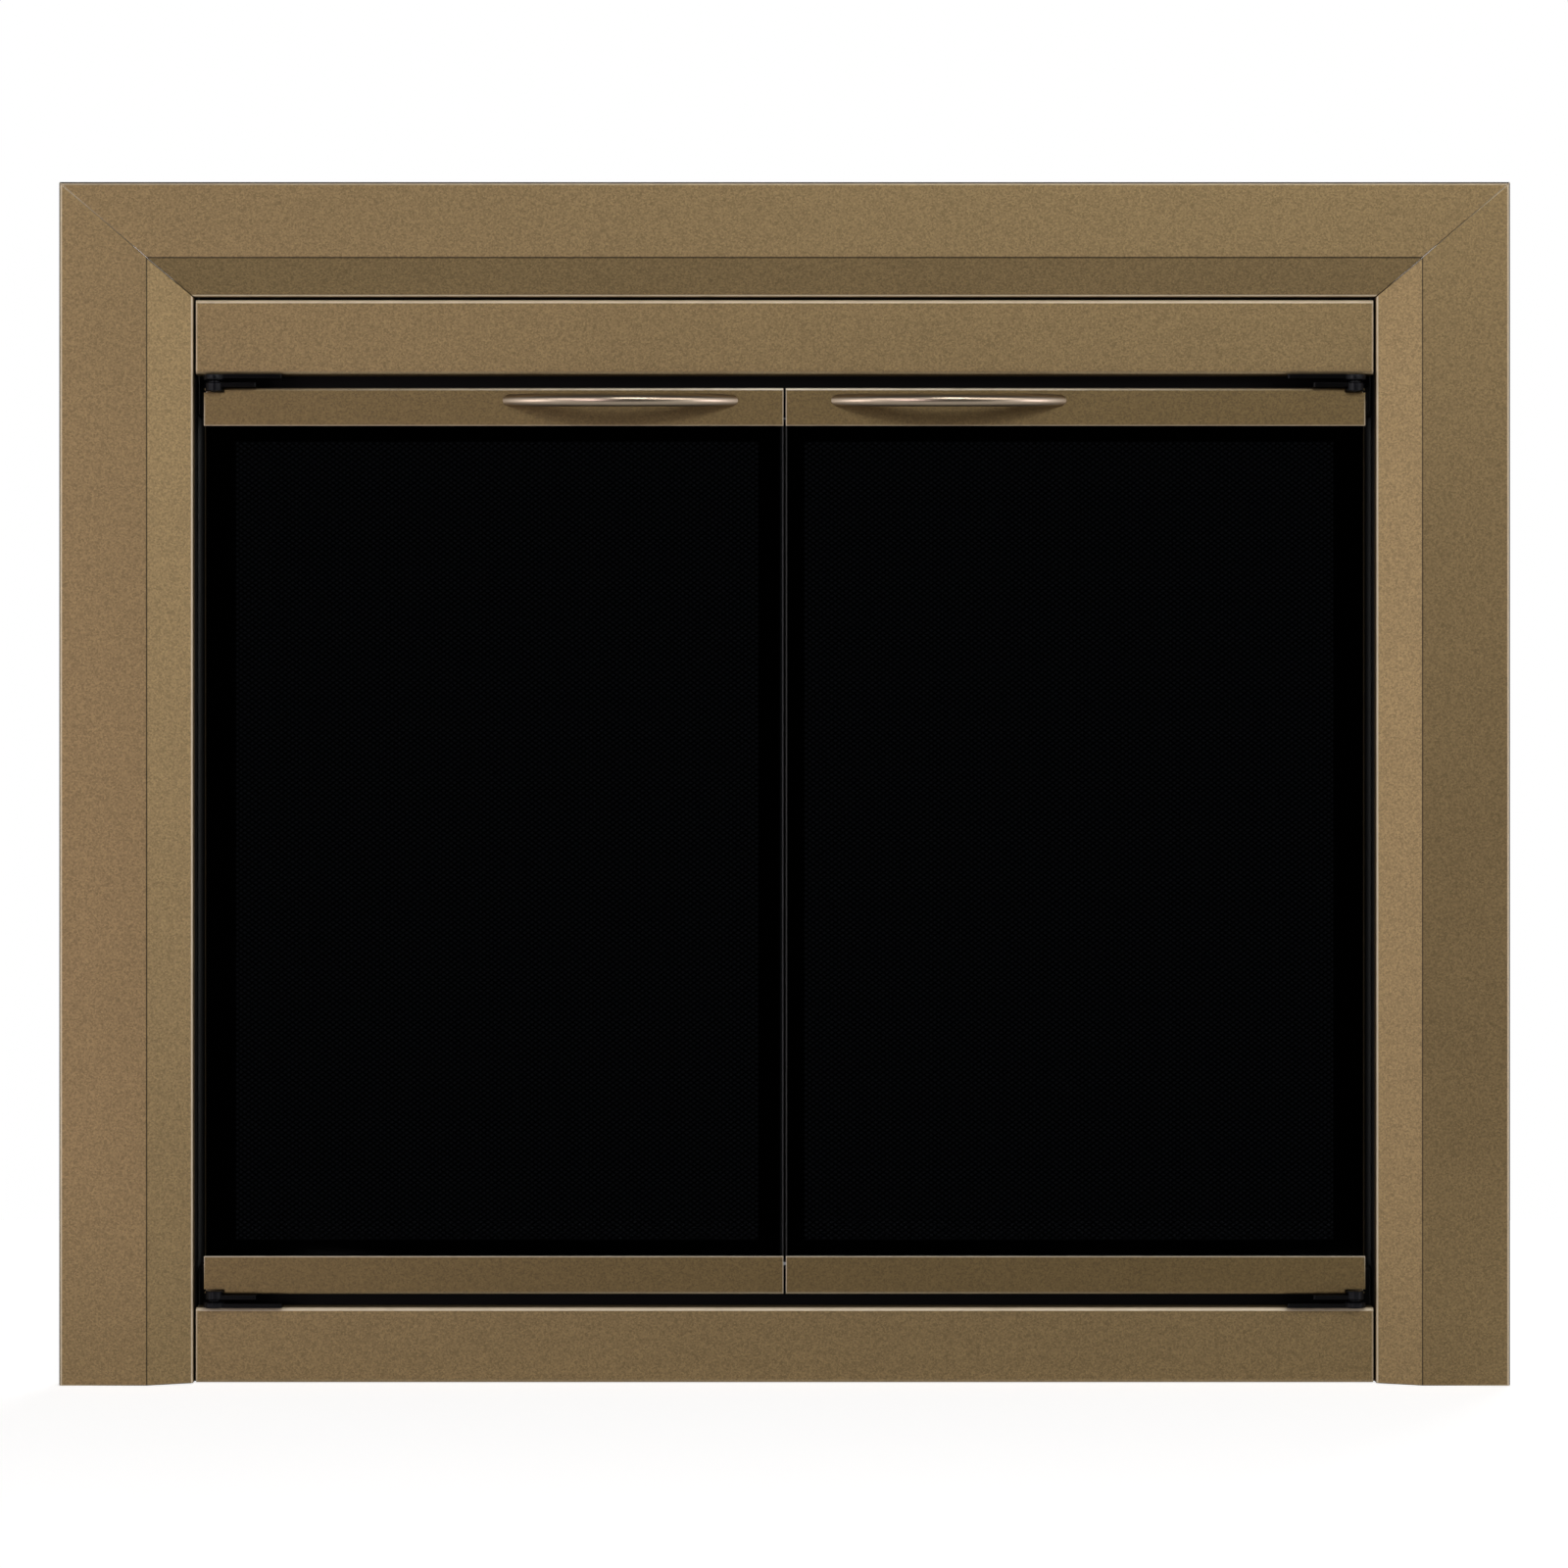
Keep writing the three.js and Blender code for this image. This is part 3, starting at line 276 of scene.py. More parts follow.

# %% [markdown]
# The frame and the panels wear the champagne coat. The door rails are the same lacquer made darker, a
# painted shade for rails that sit back in the opening. The handles are plated and smoother, and
# everything in the opening is black: satin steel for the bars and jambs, glossier on the pivots. The
# hidden fixings are zinc plated. Each finish is kept under the name of the material slot that it fills.

# %% The metal finishes
# Soot black, and a paler black for edges: polished coat and a painted highlight.
SOOT_BLACK, POLISHED_HIGHLIT_BLACK = colour(13, 12, 12), colour(52, 50, 48)
# The second colour of each finish is its pale edge: polished coat and a painted highlight.
PAINTS = {
    "frame_paint": metal_finish(
        "frame paint", colour(143, 122, 83), colour(244, 230, 198), 0.6, 0.42, flakes=(1000.0, 0.9),
        drift=(3.0, 0.16), bump=0.12, wave=0.0006, rub_highlight_shade=1.0, edge_metal_share=0.15),
    # The door rails take the frame's lacquer made darker: a painted shade.
    "door_paint": metal_finish(
        "door rail paint with painted shade", colour(120, 101, 64), colour(255, 246, 222), 0.6, 0.40, flakes=(1000.0, 0.8),
        drift=(5.0, 0.16), bump=0.12, wave=0.0004, rub_highlight_shade=1.0, edge_metal_share=0.15),
    "handle_metal": metal_finish(
        "handle plating", colour(178, 162, 142), colour(222, 208, 180), 1.0, 0.29, flakes=(2200.0, 0.05),
        drift=(12.0, 0.06), skin=(900.0, 0.02), bump=0.01, rub_highlight_shade=0.2),
    "black_steel": metal_finish(
        "black satin steel", SOOT_BLACK, POLISHED_HIGHLIT_BLACK, 0.1, 0.55, flakes=(1800.0, 0.3), drift=(8.0, 0.3),
        skin=(1300.0, 0.1), bump=0.12, rub_highlight_shade=0.3, dust=0.05, sheen=0.12),
    # On the pivots the pale edge colour is a blue-grey painted glint on the rims.
    "pivot_black": metal_finish(
        "pivot black", colour(6, 6, 7), colour(90, 94, 104), 0.1, 0.22, flakes=(2000.0, 0.2),
        drift=(20.0, 0.2), skin=(1500.0, 0.05), bump=0.05, rub_highlight_shade=0.1, dust=0.0, sheen=0.12),
    "gate_steel": metal_finish(
        "gate steel", SOOT_BLACK, POLISHED_HIGHLIT_BLACK, 0.1, 0.55, flakes=(1800.0, 0.3), drift=(9.0, 0.3),
        skin=(1100.0, 0.12), bump=0.15, rub_highlight_shade=0.35, dust=0.05, sheen=0.2),
    "zinc_plate": metal_finish(
        "zinc plate", colour(176, 180, 178), colour(222, 224, 222), 0.95, 0.36, flakes=(700.0, 0.22),
        drift=(30.0, 0.18), skin=(800.0, 0.14), bump=0.08, rub_highlight_shade=0.4),
}
print("metals:", ", ".join(PAINTS))

# %% [markdown]
# The mesh is soot-dark wire. Its strands are thinner than a match, so a fine scale on the surface is all
# that can show, and a Noise texture on colour and roughness gives it.

# %% Mesh wire
def wire_finish():
    material, tree, shader = new_material("mesh wire")
    tone = remap(tree, noise(tree, 900.0, 3.0), 0.3, 0.7)
    feed(tree, shader, {"Base Color": blended(tree, tone, colour(10, 10, 10), colour(30, 28, 26)),
                        "Metallic": 0.3, "Roughness": reckon(tree, "MULTIPLY_ADD", tone, 0.25, 0.45)})
    return material


PAINTS["mesh_steel"] = wire_finish()
print("finish:", PAINTS["mesh_steel"].name)

# %% [markdown]
# The doors are tempered glass, smoked so dark that a cold fireplace disappears behind it. Clear glass
# with a dark tint does that honestly: light is weakened on its way through, and the surface still mirrors
# the room. The tint sits in Base Color, and Metallic and Transmission Weight stay plain numbers. Faint
# wipe marks go into the roughness. The ground upright edges carry the same edge number as the metal
# pieces, which makes them rougher and gives them a second, soft shine.

# %% Smoked glass
def glass_finish():
    material, tree, shader = new_material("smoked glass")
    ground = add(tree, "ShaderNodeAttribute", attribute_name="rub_highlight_shade").outputs["Fac"]
    wiped = remap(tree, noise(tree, 9.0, 6.0), 0.4, 0.75, 0.012, 0.05)
    feed(tree, shader, {"Base Color": (0.0024, 0.0026, 0.0030, 1.0), "Transmission Weight": 1.0, "IOR": 1.5,
                        "Roughness": reckon(tree, "MULTIPLY_ADD", ground, 0.4, wiped),
                        "Coat Weight": ground, "Coat Roughness": 0.35, "Coat IOR": 2.0})
    return material


PAINTS["smoked_glass"] = glass_finish()
print("finish:", PAINTS["smoked_glass"].name)

# %% [markdown]
# Two soft or dull finishes are left. The liner that grips the glass is woven glass fibre, so two crossed
# Wave textures make its weave. The catches are moulded plastic with a fine grain.

# %% Fibre liner and plastic
def liner_finish():
    material, tree, shader = new_material("woven fibre")
    threads = {"Vector": own_place(tree), "Scale": 260.0, "Distortion": 1.5}
    warp, weft = [add(tree, "ShaderNodeTexWave", threads, bands_direction=way).outputs["Fac"] for way in "XZ"]
    weave = reckon(tree, "MULTIPLY", warp, weft)
    feed(tree, shader, {"Base Color": blended(tree, weave, colour(22, 21, 19), colour(58, 55, 50)),
                        "Roughness": reckon(tree, "MULTIPLY_ADD", weave, -0.15, 0.95),
                        "Normal": bumped(tree, weave, 0.6, 0.0003)})
    return material


def plastic_finish():
    material, tree, shader = new_material("moulded plastic")
    cells = add(tree, "ShaderNodeTexVoronoi", {"Vector": own_place(tree), "Scale": 1400.0})
    grain = cells.outputs["Distance"]
    feed(tree, shader, {"Base Color": blended(tree, grain, colour(16, 16, 17), colour(34, 34, 36)),
                        "Roughness": reckon(tree, "MULTIPLY_ADD", grain, 0.2, 0.42),
                        "Normal": bumped(tree, grain, 0.3, 0.0001)})
    return material


PAINTS["gasket_fibre"] = liner_finish()
PAINTS["catch_plastic"] = plastic_finish()
print("finishes in all:", len(PAINTS))

# %% [markdown]
# ## Shapes
# Nearly every piece of this set is sheet steel that went through a folding press. Such a piece is a
# section, drawn once as an open line with rounded folds and given its thickness, and swept along a
# straight run. Turned parts are rows of radii spun round an axis. Both are written as small bmesh
# functions, because then a fold is a true arc and an end can follow a mitre.

# %% Folded sections
def folded(path, radius, steps=8, wear_highlight_shade=None):
    """Rounds the inner corners of an open line. Gives (point, edge tone). Its last argument rates
    each corner's two halves: above 0 polish and painted highlight, below 0 painted shade.
    """
    points = [Vector(p) for p in path]
    line = [(points[0], 0.0)]
    for place, (before, corner, after) in enumerate(zip(points, points[1:], points[2:])):
        back, ahead = (before - corner).normalized(), (after - corner).normalized()
        half = math.acos(back.dot(ahead)) / 2
        centre = corner + (back + ahead).normalized() * (radius / math.sin(half))
        arm = corner + back * (radius / math.tan(half)) - centre
        outward = corner - centre
        turn = math.copysign(math.pi - 2 * half, arm.x * outward.y - arm.y * outward.x)
        rates = wear_highlight_shade[place] if wear_highlight_shade else (1.0, 1.0)
        for step in range(steps + 1):
            share = step / steps
            swung = Matrix.Rotation(turn * share, 2) @ arm
            rub_highlight_shade = rates[share > 0.5] * math.sin(math.pi * share)
            line.append((centre + swung, max(-1.0, min(1.0, rub_highlight_shade))))
    line.append((points[-1], 0.0))
    return line


def sheet_section(path, thickness, radius, guard=1.5, wear_highlight_shade=None, tips=(1.0, 1.0)):
    """Ring of (u, v, rub) round a folded sheet. A positive thickness lies to the left of the line."""
    line = folded(path, radius, wear_highlight_shade=wear_highlight_shade)
    first, last = line[0][0], line[-1][0]
    inward = (line[1][0] - first).normalized() * guard
    outward = (line[-2][0] - last).normalized() * guard
    # The cut tips of the sheet are pale: polish and a painted highlight.
    line = [(first, tips[0]), (first + inward, 0.0), *line[1:-1], (last + outward, 0.0), (last, tips[1])]
    other = []
    for i, (point, rub_highlight_shade) in enumerate(line):
        back = point - line[max(i - 1, 0)][0]
        ahead = line[min(i + 1, len(line) - 1)][0] - point
        edges = [edge for edge in (back, ahead) if edge.length > 1e-9]
        normals = [Vector((-edge.y, edge.x)).normalized() for edge in (edges[0], edges[-1])]
        middle = (normals[0] + normals[1]).normalized()
        other.append((point + middle * (thickness / middle.dot(normals[0])), rub_highlight_shade))
    return [(p.x, p.y, rub_highlight_shade) for p, rub_highlight_shade in line + other[::-1]]

# %% [markdown]
# A sweep joins two copies of a section. It adds a ring a little way in from each end, so that the pale
# edge of polish and painted highlight stays at the end and the flats stay clean. A folded sheet's end
# is closed by a strip of small faces along the metal's thickness, which stays tidy even where the
# section is a deep hook. A cut end is as pale as the section or the end asks, whichever is more, unless
# the end asks for painted shade.

# %% Sweeps and slabs
PLACED = {"X": lambda u, v, w: (w, u, v), "Y": lambda u, v, w: (u, w, v), "Z": lambda u, v, w: (u, v, w)}


def new_shape():
    """An empty shape with a layer for each corner's polish, painted highlight and painted shade."""
    bm = bmesh.new()
    return bm, bm.verts.layers.float.new("rub_highlight_shade")


def belts(bm, rings):
    """Joins each ring of corners to the next by a belt of faces. A ring may be a single corner."""
    for low, high in zip(rings, rings[1:]):
        count = max(len(low), len(high))
        for k in range(count):
            n = (k + 1) % count
            quad = [low[k % len(low)], low[n % len(low)], high[n % len(high)], high[k % len(high)]]
            bm.faces.new(dict.fromkeys(quad))


def sweep(ring, start, end, strip=True, guard=1.5, ends=lambda u: 1.0):
    """Joins the ring at start(k, u, v) to the ring at end(k, u, v). Ends gives the tone of the cut
    ends: polish and painted highlight above 0, painted shade below 0.
    """
    bm, layer = new_shape()
    first, last = [[Vector(place(k, u, v)) for k, (u, v, _) in enumerate(ring)] for place in (start, end)]
    runs = [(b - a).normalized() * guard for a, b in zip(first, last)]
    near, far = [a + r for a, r in zip(first, runs)], [b - r for b, r in zip(last, runs)]
    rows = []
    for places, is_end in ((first, True), (near, False), (far, False), (last, True)):
        row = [bm.verts.new(place) for place in places]
        for vert, (u, _, rub_highlight_shade) in zip(row, ring):
            asked = ends(u) if is_end else rub_highlight_shade
            vert[layer] = asked if asked < 0 else max(rub_highlight_shade, asked)
        rows.append(row)
    belts(bm, rows)
    for row in (rows[0], rows[-1]):
        if strip:
            for k in range(len(row) // 2 - 1):
                bm.faces.new((row[k], row[k + 1], row[-2 - k], row[-1 - k]))
        else:
            bm.faces.new(row)
    return bm


def straight(ring, axis, low, high, **how):
    """Sweeps the ring straight along an axis, between two values on it."""
    place = PLACED[axis]
    return sweep(ring, lambda k, u, v: place(u, v, low), lambda k, u, v: place(u, v, high), **how)


def slab(outline, low, high, axis="Y", shrink=1.0):
    """A plate with a closed outline, between two values on an axis. Shrink draws in its high end."""
    middle = sum((Vector(p) for p in outline), Vector((0, 0))) / len(outline)
    bm, _ = new_shape()
    rows = []
    for level, scale in ((low, 1.0), (high, shrink)):
        places = [middle + (Vector(p) - middle) * scale for p in outline]
        rows.append([bm.verts.new(PLACED[axis](p.x, p.y, level)) for p in places])
    belts(bm, rows)
    for row in rows:
        bm.faces.new(row)
    return bm


def rounded(corners, radius, steps=5):
    """A closed outline with every corner rounded."""
    ring = []
    for k, corner in enumerate(corners):
        three = [corners[k - 1], corner, corners[(k + 1) % len(corners)]]
        ring += [tuple(point) for point, _ in folded(three, radius, steps)[1:-1]]
    return ring

# %% [markdown]
# Turned and threaded parts are rows of points round an axis. A row's radius may be a number, or a
# function of the angle and the height, which is enough for a hexagon, a knurl or the helix of a thread.

# %% Turned parts
# The third number of a row paints that ring paler: polish and a painted highlight on rims and threads.
def lathe(rows, centre, axis="Z", sides=40):
    """Spins rows of (height, radius, rub) round an axis. A radius of 0 is a point on the axis."""
    bm, layer = new_shape()
    rings = []
    for height, radius, rub_highlight_shade in rows:
        ring = []
        for k in range(1 if radius == 0 else sides):
            angle = 2 * math.pi * k / sides
            reach = radius(angle, height) if callable(radius) else radius
            across, along = centre[0] + reach * math.cos(angle), centre[1] + reach * math.sin(angle)
            ring.append(bm.verts.new(PLACED[axis](across, along, height)))
            ring[-1][layer] = rub_highlight_shade
        rings.append(ring)
    belts(bm, rings)
    for ring in (rings[0], rings[-1]):
        if len(ring) > 1:
            bm.faces.new(ring)
    return bm


def hexagon(across):
    """Radius of a hexagon with that width across its flats, as a function of the angle."""
    return lambda angle, height: across / 2 / math.cos((angle + math.pi / 6) % (math.pi / 3) - math.pi / 6)


def thread(radius, pitch, depth):
    """Radius of a thread, as a function of the angle and the height."""
    def reach(angle, height):
        phase = (height / pitch - angle / (2 * math.pi)) % 1
        return radius - depth * abs(2 * phase - 1)
    return reach

# %% [markdown]
# Pieces are joined and drilled with Boolean modifiers, which keep closed shapes closed. Finishing a
# piece means the same few steps every time: break the sharp edges with a small bevel so they catch
# light, shade it smooth with the flats kept flat, scale it to metres, give it its finish and hand it to
# the body that carries it. The left-hand pieces are mirror images of the right-hand ones.

# %% Joining, drilling and finishing
def put_in_scene(name, data):
    """Makes an object of a mesh, a lamp or a camera, and puts it into the scene."""
    thing = bpy.data.objects.new(name, data)
    bpy.context.scene.collection.objects.link(thing)
    return thing


def as_object(bm, name="draft"):
    """Puts a bmesh into the scene as an object, with its faces pointing out."""
    bmesh.ops.recalc_face_normals(bm, faces=bm.faces)
    mesh = bpy.data.meshes.new(name)
    bm.to_mesh(mesh)
    bm.free()
    return put_in_scene(name, mesh)


def apply_all(piece):
    """Replaces the piece's mesh by what its modifiers make of it."""
    graph = bpy.context.evaluated_depsgraph_get()
    made = bpy.data.meshes.new_from_object(piece.evaluated_get(graph))
    piece.modifiers.clear()
    piece.data = made


def combine(body, tool, operation):
    """Joins a tool shape to a body, or cuts it away, and gives the result back as a bmesh."""
    target, other = as_object(body), as_object(tool)
    change = target.modifiers.new("combine", "BOOLEAN")
    change.object, change.operation, change.solver = other, operation, "EXACT"
    apply_all(target)
    made = bmesh.new()
    made.from_mesh(target.data)
    for draft in (target, other):
        bpy.data.objects.remove(draft)
    return made


def together(*shapes):
    """Collects separate closed shapes in one bmesh."""
    whole = shapes[0]
    for shape in shapes[1:]:
        draft = bpy.data.meshes.new("draft")
        shape.to_mesh(draft)
        shape.free()
        whole.from_mesh(draft)
    return whole


def mirrored(bm):
    """A copy of a shape on the other side of the set."""
    other = bm.copy()
    for vert in other.verts:
        vert.co.x = -vert.co.x
    return other


def finish(bm, node, slot, body, edge=0.3, sharp=40, smooth=30):
    """Turns a drawn shape into the finished piece that stands for a plain solid."""
    for vert in bm.verts:
        vert.co *= MM
    piece = as_object(bm, "finished_" + node)
    if edge:
        bevel = piece.modifiers.new("edges", "BEVEL")
        bevel.width, bevel.segments = edge * MM, 2
        bevel.limit_method, bevel.angle_limit = "ANGLE", math.radians(sharp)
        apply_all(piece)
    piece.data.shade_smooth()
    piece.data.set_sharp_from_angle(angle=math.radians(smooth))
    flat = piece.modifiers.new("flat faces stay flat", "WEIGHTED_NORMAL")
    flat.keep_sharp, flat.weight = True, 100
    apply_all(piece)
    piece.data.materials.clear()
    piece.data.materials.append(PAINTS[slot])
    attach(piece, body)
    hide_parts(node)


def one_side(side, bm, node, slot, body="frame", **look):
    """Finishes a shape that is drawn for the right-hand side. The body is named without its side."""
    shape = mirrored(bm) if side == "left" else bm
    rides_on = body if body == "frame" else f"{side}_{body}"
    finish(shape, f"{side}_{node}", slot, rides_on, **look)


def both_sides(bm, node, slot, body="frame", **look):
    """Finishes a right-hand shape and its mirror image."""
    for side in ("left", "right"):
        one_side(side, bm, node, slot, body, **look)
    print("made", node, "for both sides")

# %% [markdown]
# ## Overlap frame
# The outer frame is three lengths of the same folded channel: two stiles and a top rail. From the wall
# lip the sheet turns forward, runs flat across the front, falls back in a bevel, and ends in a lip that
# takes the inner frame. Stile and rail differ only in the width of flat and bevel, so one function draws
# both. Painted shade darkens the crease between flat and bevel and the far half of the outermost fold.
# The near half of that fold and the bevel's inner edge are pale, polished coat with a painted highlight.
# At the corner each point of one section meets the same point of the other, which gives a true mitre,
# with a pale line of polish and painted highlight across the flats and painted shade across the bevels.

# %% Sizes of the frame
HALF_WIDTH, HEIGHT = 476.25, 790.0
FRONT, BEVEL_BACK, RETURN_BACK = -28.0, -13.0, -1.0
SHEET, FOLD, MITRE_GAP = 1.5, 2.4, 0.2
STILE_FLAT, STILE_BEVEL, RAIL_FLAT, RAIL_BEVEL = 57.7, 28.6, 49.8, 24.1


def frame_section(flat, bevel):
    inner = flat + bevel
    path = [(16, 0), (0, 0), (0, FRONT), (flat, FRONT), (inner, BEVEL_BACK), (inner, RETURN_BACK),
            (inner - 14, RETURN_BACK)]
    # Per corner: wall lip; outer fold, painted shade on its far half and pale on its near half; crease,
    # painted shade; bevel's inner edge, pale with polish and painted highlight; back lip.
    wear_highlight_shade = [(0.3, 0.3), (-1.8, 0.9), (-0.9, -0.9), (1.6, 1.6), (0.3, 0.3)]
    return sheet_section(path, SHEET, FOLD, wear_highlight_shade=wear_highlight_shade, tips=(0.4, 0.4))


stile_ring = frame_section(STILE_FLAT, STILE_BEVEL)
rail_ring = frame_section(RAIL_FLAT, RAIL_BEVEL)
print("points round the frame's section:", len(stile_ring))

# %% Stiles and top rail
def rail_reach(k):
    """How far the rail reaches from the middle to its mitre, at one point of the section."""
    return HALF_WIDTH - stile_ring[k][0] - MITRE_GAP / 2


def mitre_highlight_shade(flat):
    """A mitred end's tone: polish and painted highlight on the flat, painted shade on the bevel."""
    return lambda u: 0.7 if u < flat - 1 else -0.7


stile = sweep(stile_ring, lambda k, u, v: (HALF_WIDTH - u, v, 0),
              lambda k, u, v: (HALF_WIDTH - u, v, HEIGHT - rail_ring[k][0] - MITRE_GAP / 2),
              guard=0.8, ends=mitre_highlight_shade(STILE_FLAT))
both_sides(stile, "stile", "frame_paint")
rail = sweep(rail_ring, lambda k, u, v: (-rail_reach(k), v, HEIGHT - u),
             lambda k, u, v: (rail_reach(k), v, HEIGHT - u), guard=0.8, ends=mitre_highlight_shade(RAIL_FLAT))
finish(rail, "top_rail", "frame_paint", "frame")
print("made top_rail")

# %% [markdown]
# Screws hold the hidden side together. One function turns a pan head with its shank, and cuts a cross
# into the head with a tapered tool. The same screw serves the corner plates, jambs and handles in
# different sizes.

# %% A cross-head screw
def cross_tool(radius, centre, face, depth, width=0.26):
    """A tapered cross that cuts a driver's recess into a head."""
    w, r = radius * width, radius * 0.62
    outline = [(w, w), (w, r), (-w, r), (-w, w), (-r, w), (-r, -w),
               (-w, -w), (-w, -r), (w, -r), (w, -w), (r, -w), (r, w)]
    placed = [(centre[0] + u, centre[1] + v) for u, v in outline]
    return slab(placed, face, depth, "Y", shrink=0.45)


def screw(centre, tip, seat, top, shank, head, pitch=0.0):
    """A screw along Y, from its tip to its seat and the top of its head."""
    way = math.copysign(1, seat - tip)
    rows = [(tip, 0, 0.0), (tip, shank * 0.6, 0.0), (tip + way * shank * 0.8, shank, 0.0)]
    if pitch:
        turns = int(abs(seat - tip - way * shank) / pitch * 4)
        rows += [(tip + way * (shank + i * pitch / 4), thread(shank, pitch, 0.35), 0.3) for i in range(turns)]
    rows += [(seat, shank, 0.0), (seat, head, 0.2)]
    for share in (0.15, 0.4, 0.65, 0.85, 1.0):
        rows.append((seat + (top - seat) * (0.35 + 0.65 * math.sin(share * math.pi / 2)),
                     head * (1 - 0.42 * share ** 3), 0.6 * (1 - share)))
    body = lathe(rows, centre, "Y", 32)
    depth = seat + (top - seat) * 0.3
    return combine(body, cross_tool(head, centre, top + way * 0.5, depth), "DIFFERENCE")

# %% [markdown]
# Behind each mitre sits a flat L plate of plated steel with four short screws. It is only seen from the
# back, where the open side of the channel shows it.

# %% Corner plates
def corner_plate():
    x, z, y = HALF_WIDTH - 3.7, HEIGHT - 3.7, FRONT + 1.8
    corner = [(x, z), (x - 90, z), (x - 90, z - 38), (x - 38, z - 38), (x - 38, z - 90), (x, z - 90)]
    plate = slab(rounded(corner, 4), y, y + 2)
    spots = [(x - 76, z - 19), (x - 46, z - 19), (x - 19, z - 46), (x - 19, z - 76)]
    return together(plate, *[screw(spot, y - 1.2, y + 2.02, y + 4.2, 1.8, 3.8) for spot in spots])


both_sides(corner_plate(), "corner_bracket", "zinc_plate", edge=0.25)

# %% [markdown]
# ## Panels
# A plain channel closes the space between the stiles above the doors, and another below them. Their
# faces sit a little behind the bevel's inner edge. Their long edges are folded, and the upper one, which
# catches every cloth, shows as a bright line of polish and painted highlight.

# %% Top and bottom panel
PANEL_HALF, PANEL_FACE, PANEL_BACK = 388.45, -9.0, 11.7


def panel(bottom, top):
    path = [(PANEL_BACK, top - 10), (PANEL_BACK, top), (PANEL_FACE, top), (PANEL_FACE, bottom),
            (PANEL_BACK, bottom), (PANEL_BACK, bottom + 10)]
    # The upper front fold and the cut ends are pale: polish and a painted highlight.
    ring = sheet_section(path, SHEET, FOLD, wear_highlight_shade=[(0.5, 0.5), (2.2, 2.2), (0.15, 0.15), (0.3, 0.3)])
    return straight(ring, "X", -PANEL_HALF, PANEL_HALF, ends=lambda u: 0.6)


finish(panel(665.0, 714.2), "top_panel", "frame_paint", "frame")
finish(panel(0.0, 49.4), "bottom_panel", "frame_paint", "frame")
print("made both panels")

# %% [markdown]
# ## Inner frame
# Two jambs, a head bar and a sill bar line the opening in black. The bars carry the gates: each shelf has
# two round holes that the gates' studs turn in. A hole is drilled by cutting a turned tool away.

# %% Drilling
def drill(body, centre, radius, low, high, axis="Z"):
    """Cuts a round hole along an axis."""
    return combine(body, lathe([(low, radius, 0), (high, radius, 0)], centre, axis, 28), "DIFFERENCE")

# %% Jambs and bars
JAMB, GATE_PIVOT, GATE_MIDDLE = 388.75, 349.95, 19.0
jamb_ring = sheet_section([(JAMB + 15.2, -0.7), (JAMB, -0.7), (JAMB, 50.5), (JAMB - 20.8, 50.5)], -1.5, 2.4)
both_sides(straight(jamb_ring, "Z", 0, 725.2), "jamb", "black_steel")


def bar(path, low, high):
    ring = sheet_section(path, -2, 3)
    body = straight(ring, "X", -PANEL_HALF, PANEL_HALF)
    for x in (-GATE_PIVOT, GATE_PIVOT):
        body = drill(body, (x, GATE_MIDDLE), 3.3, low, high)
    return body


finish(bar([(40, 638), (12, 638), (12, 725.2)], 637.5, 640.5), "head_bar", "black_steel", "frame")
finish(bar([(12, 1), (12, 75.2), (40, 75.2)], 72.6, 76), "sill_bar", "black_steel", "frame")
print("made head_bar and sill_bar")

# %% Jamb screws
for level, height in (("lower", 120.0), ("upper", 620.0)):
    both_sides(screw((396.95, height), -7.9, 1.1, 3.6, 2.0, 4.5, pitch=1.2), f"{level}_jamb_screw",
               "zinc_plate", edge=0)

# %% [markdown]
# ## Fixings
# An angle on the back of the head bar carries a bolt that is wound up against the lintel. The bolt is
# turned with a hexagon head, a true helical thread, a lock nut and a ribbed pad. At each foot a small
# angle is screwed down to the hearth. All of it is zinc plated.

# %% Lintel clamps and bolts
LINTEL_BOLT = (250, 32.3)


def clamp():
    ring = sheet_section([(14.3, 660), (14.3, 700), (46.3, 700)], -2, 3)
    return drill(straight(ring, "X", 235, 265), LINTEL_BOLT, 4.4, 697, 701)


def lintel_bolt():
    hexes, pitch = hexagon(12.1), 1.25

    def hexagonal(foot, core):
        """Rows of a head or nut, six millimetres high, with chamfered rims."""
        return [(foot, core, 0), (foot, 5.4, 0.4), (foot + 0.7, hexes, 0.6), (foot + 5.3, hexes, 0.6),
                (foot + 6, 5.4, 0.3), (foot + 6, 3.9, 0)]

    def threaded(foot, quarter_turns):
        return [(foot + i * pitch / 4, thread(4.0, pitch, 0.55), 0.25) for i in range(quarter_turns)]

    def ribbed(angle, height):
        return 10.7 + 0.3 * math.cos(24 * angle)

    pad = [(736.0, 3.9, 0), (736.0, 10.2, 0.5), (736.6, ribbed, 0.6), (739.4, ribbed, 0.6),
           (740.0, 10.2, 0.5), (740.0, 0, 0)]
    rows = hexagonal(676, 0) + threaded(682.3, 57) + hexagonal(700.3, 3.9) + threaded(706.6, 93) + pad
    return lathe(rows, LINTEL_BOLT, "Z", 48)


both_sides(clamp(), "lintel_clamp", "zinc_plate")
both_sides(lintel_bolt(), "lintel_bolt", "zinc_plate", edge=0, smooth=35)

# %% Floor brackets
foot_ring = sheet_section([(340.45, 0), (388.45, 0), (388.45, 36)], 2, 3)
foot = drill(straight(foot_ring, "Y", 18, 48), (360.45, 33), 3.5, -1, 3)
both_sides(foot, "floor_bracket", "zinc_plate")

# %% [markdown]
# A door is kept shut by a magnetic catch on the head bar. It is a small plastic block with rounded
# edges, and two steel pole strips stand a hair proud of its front.

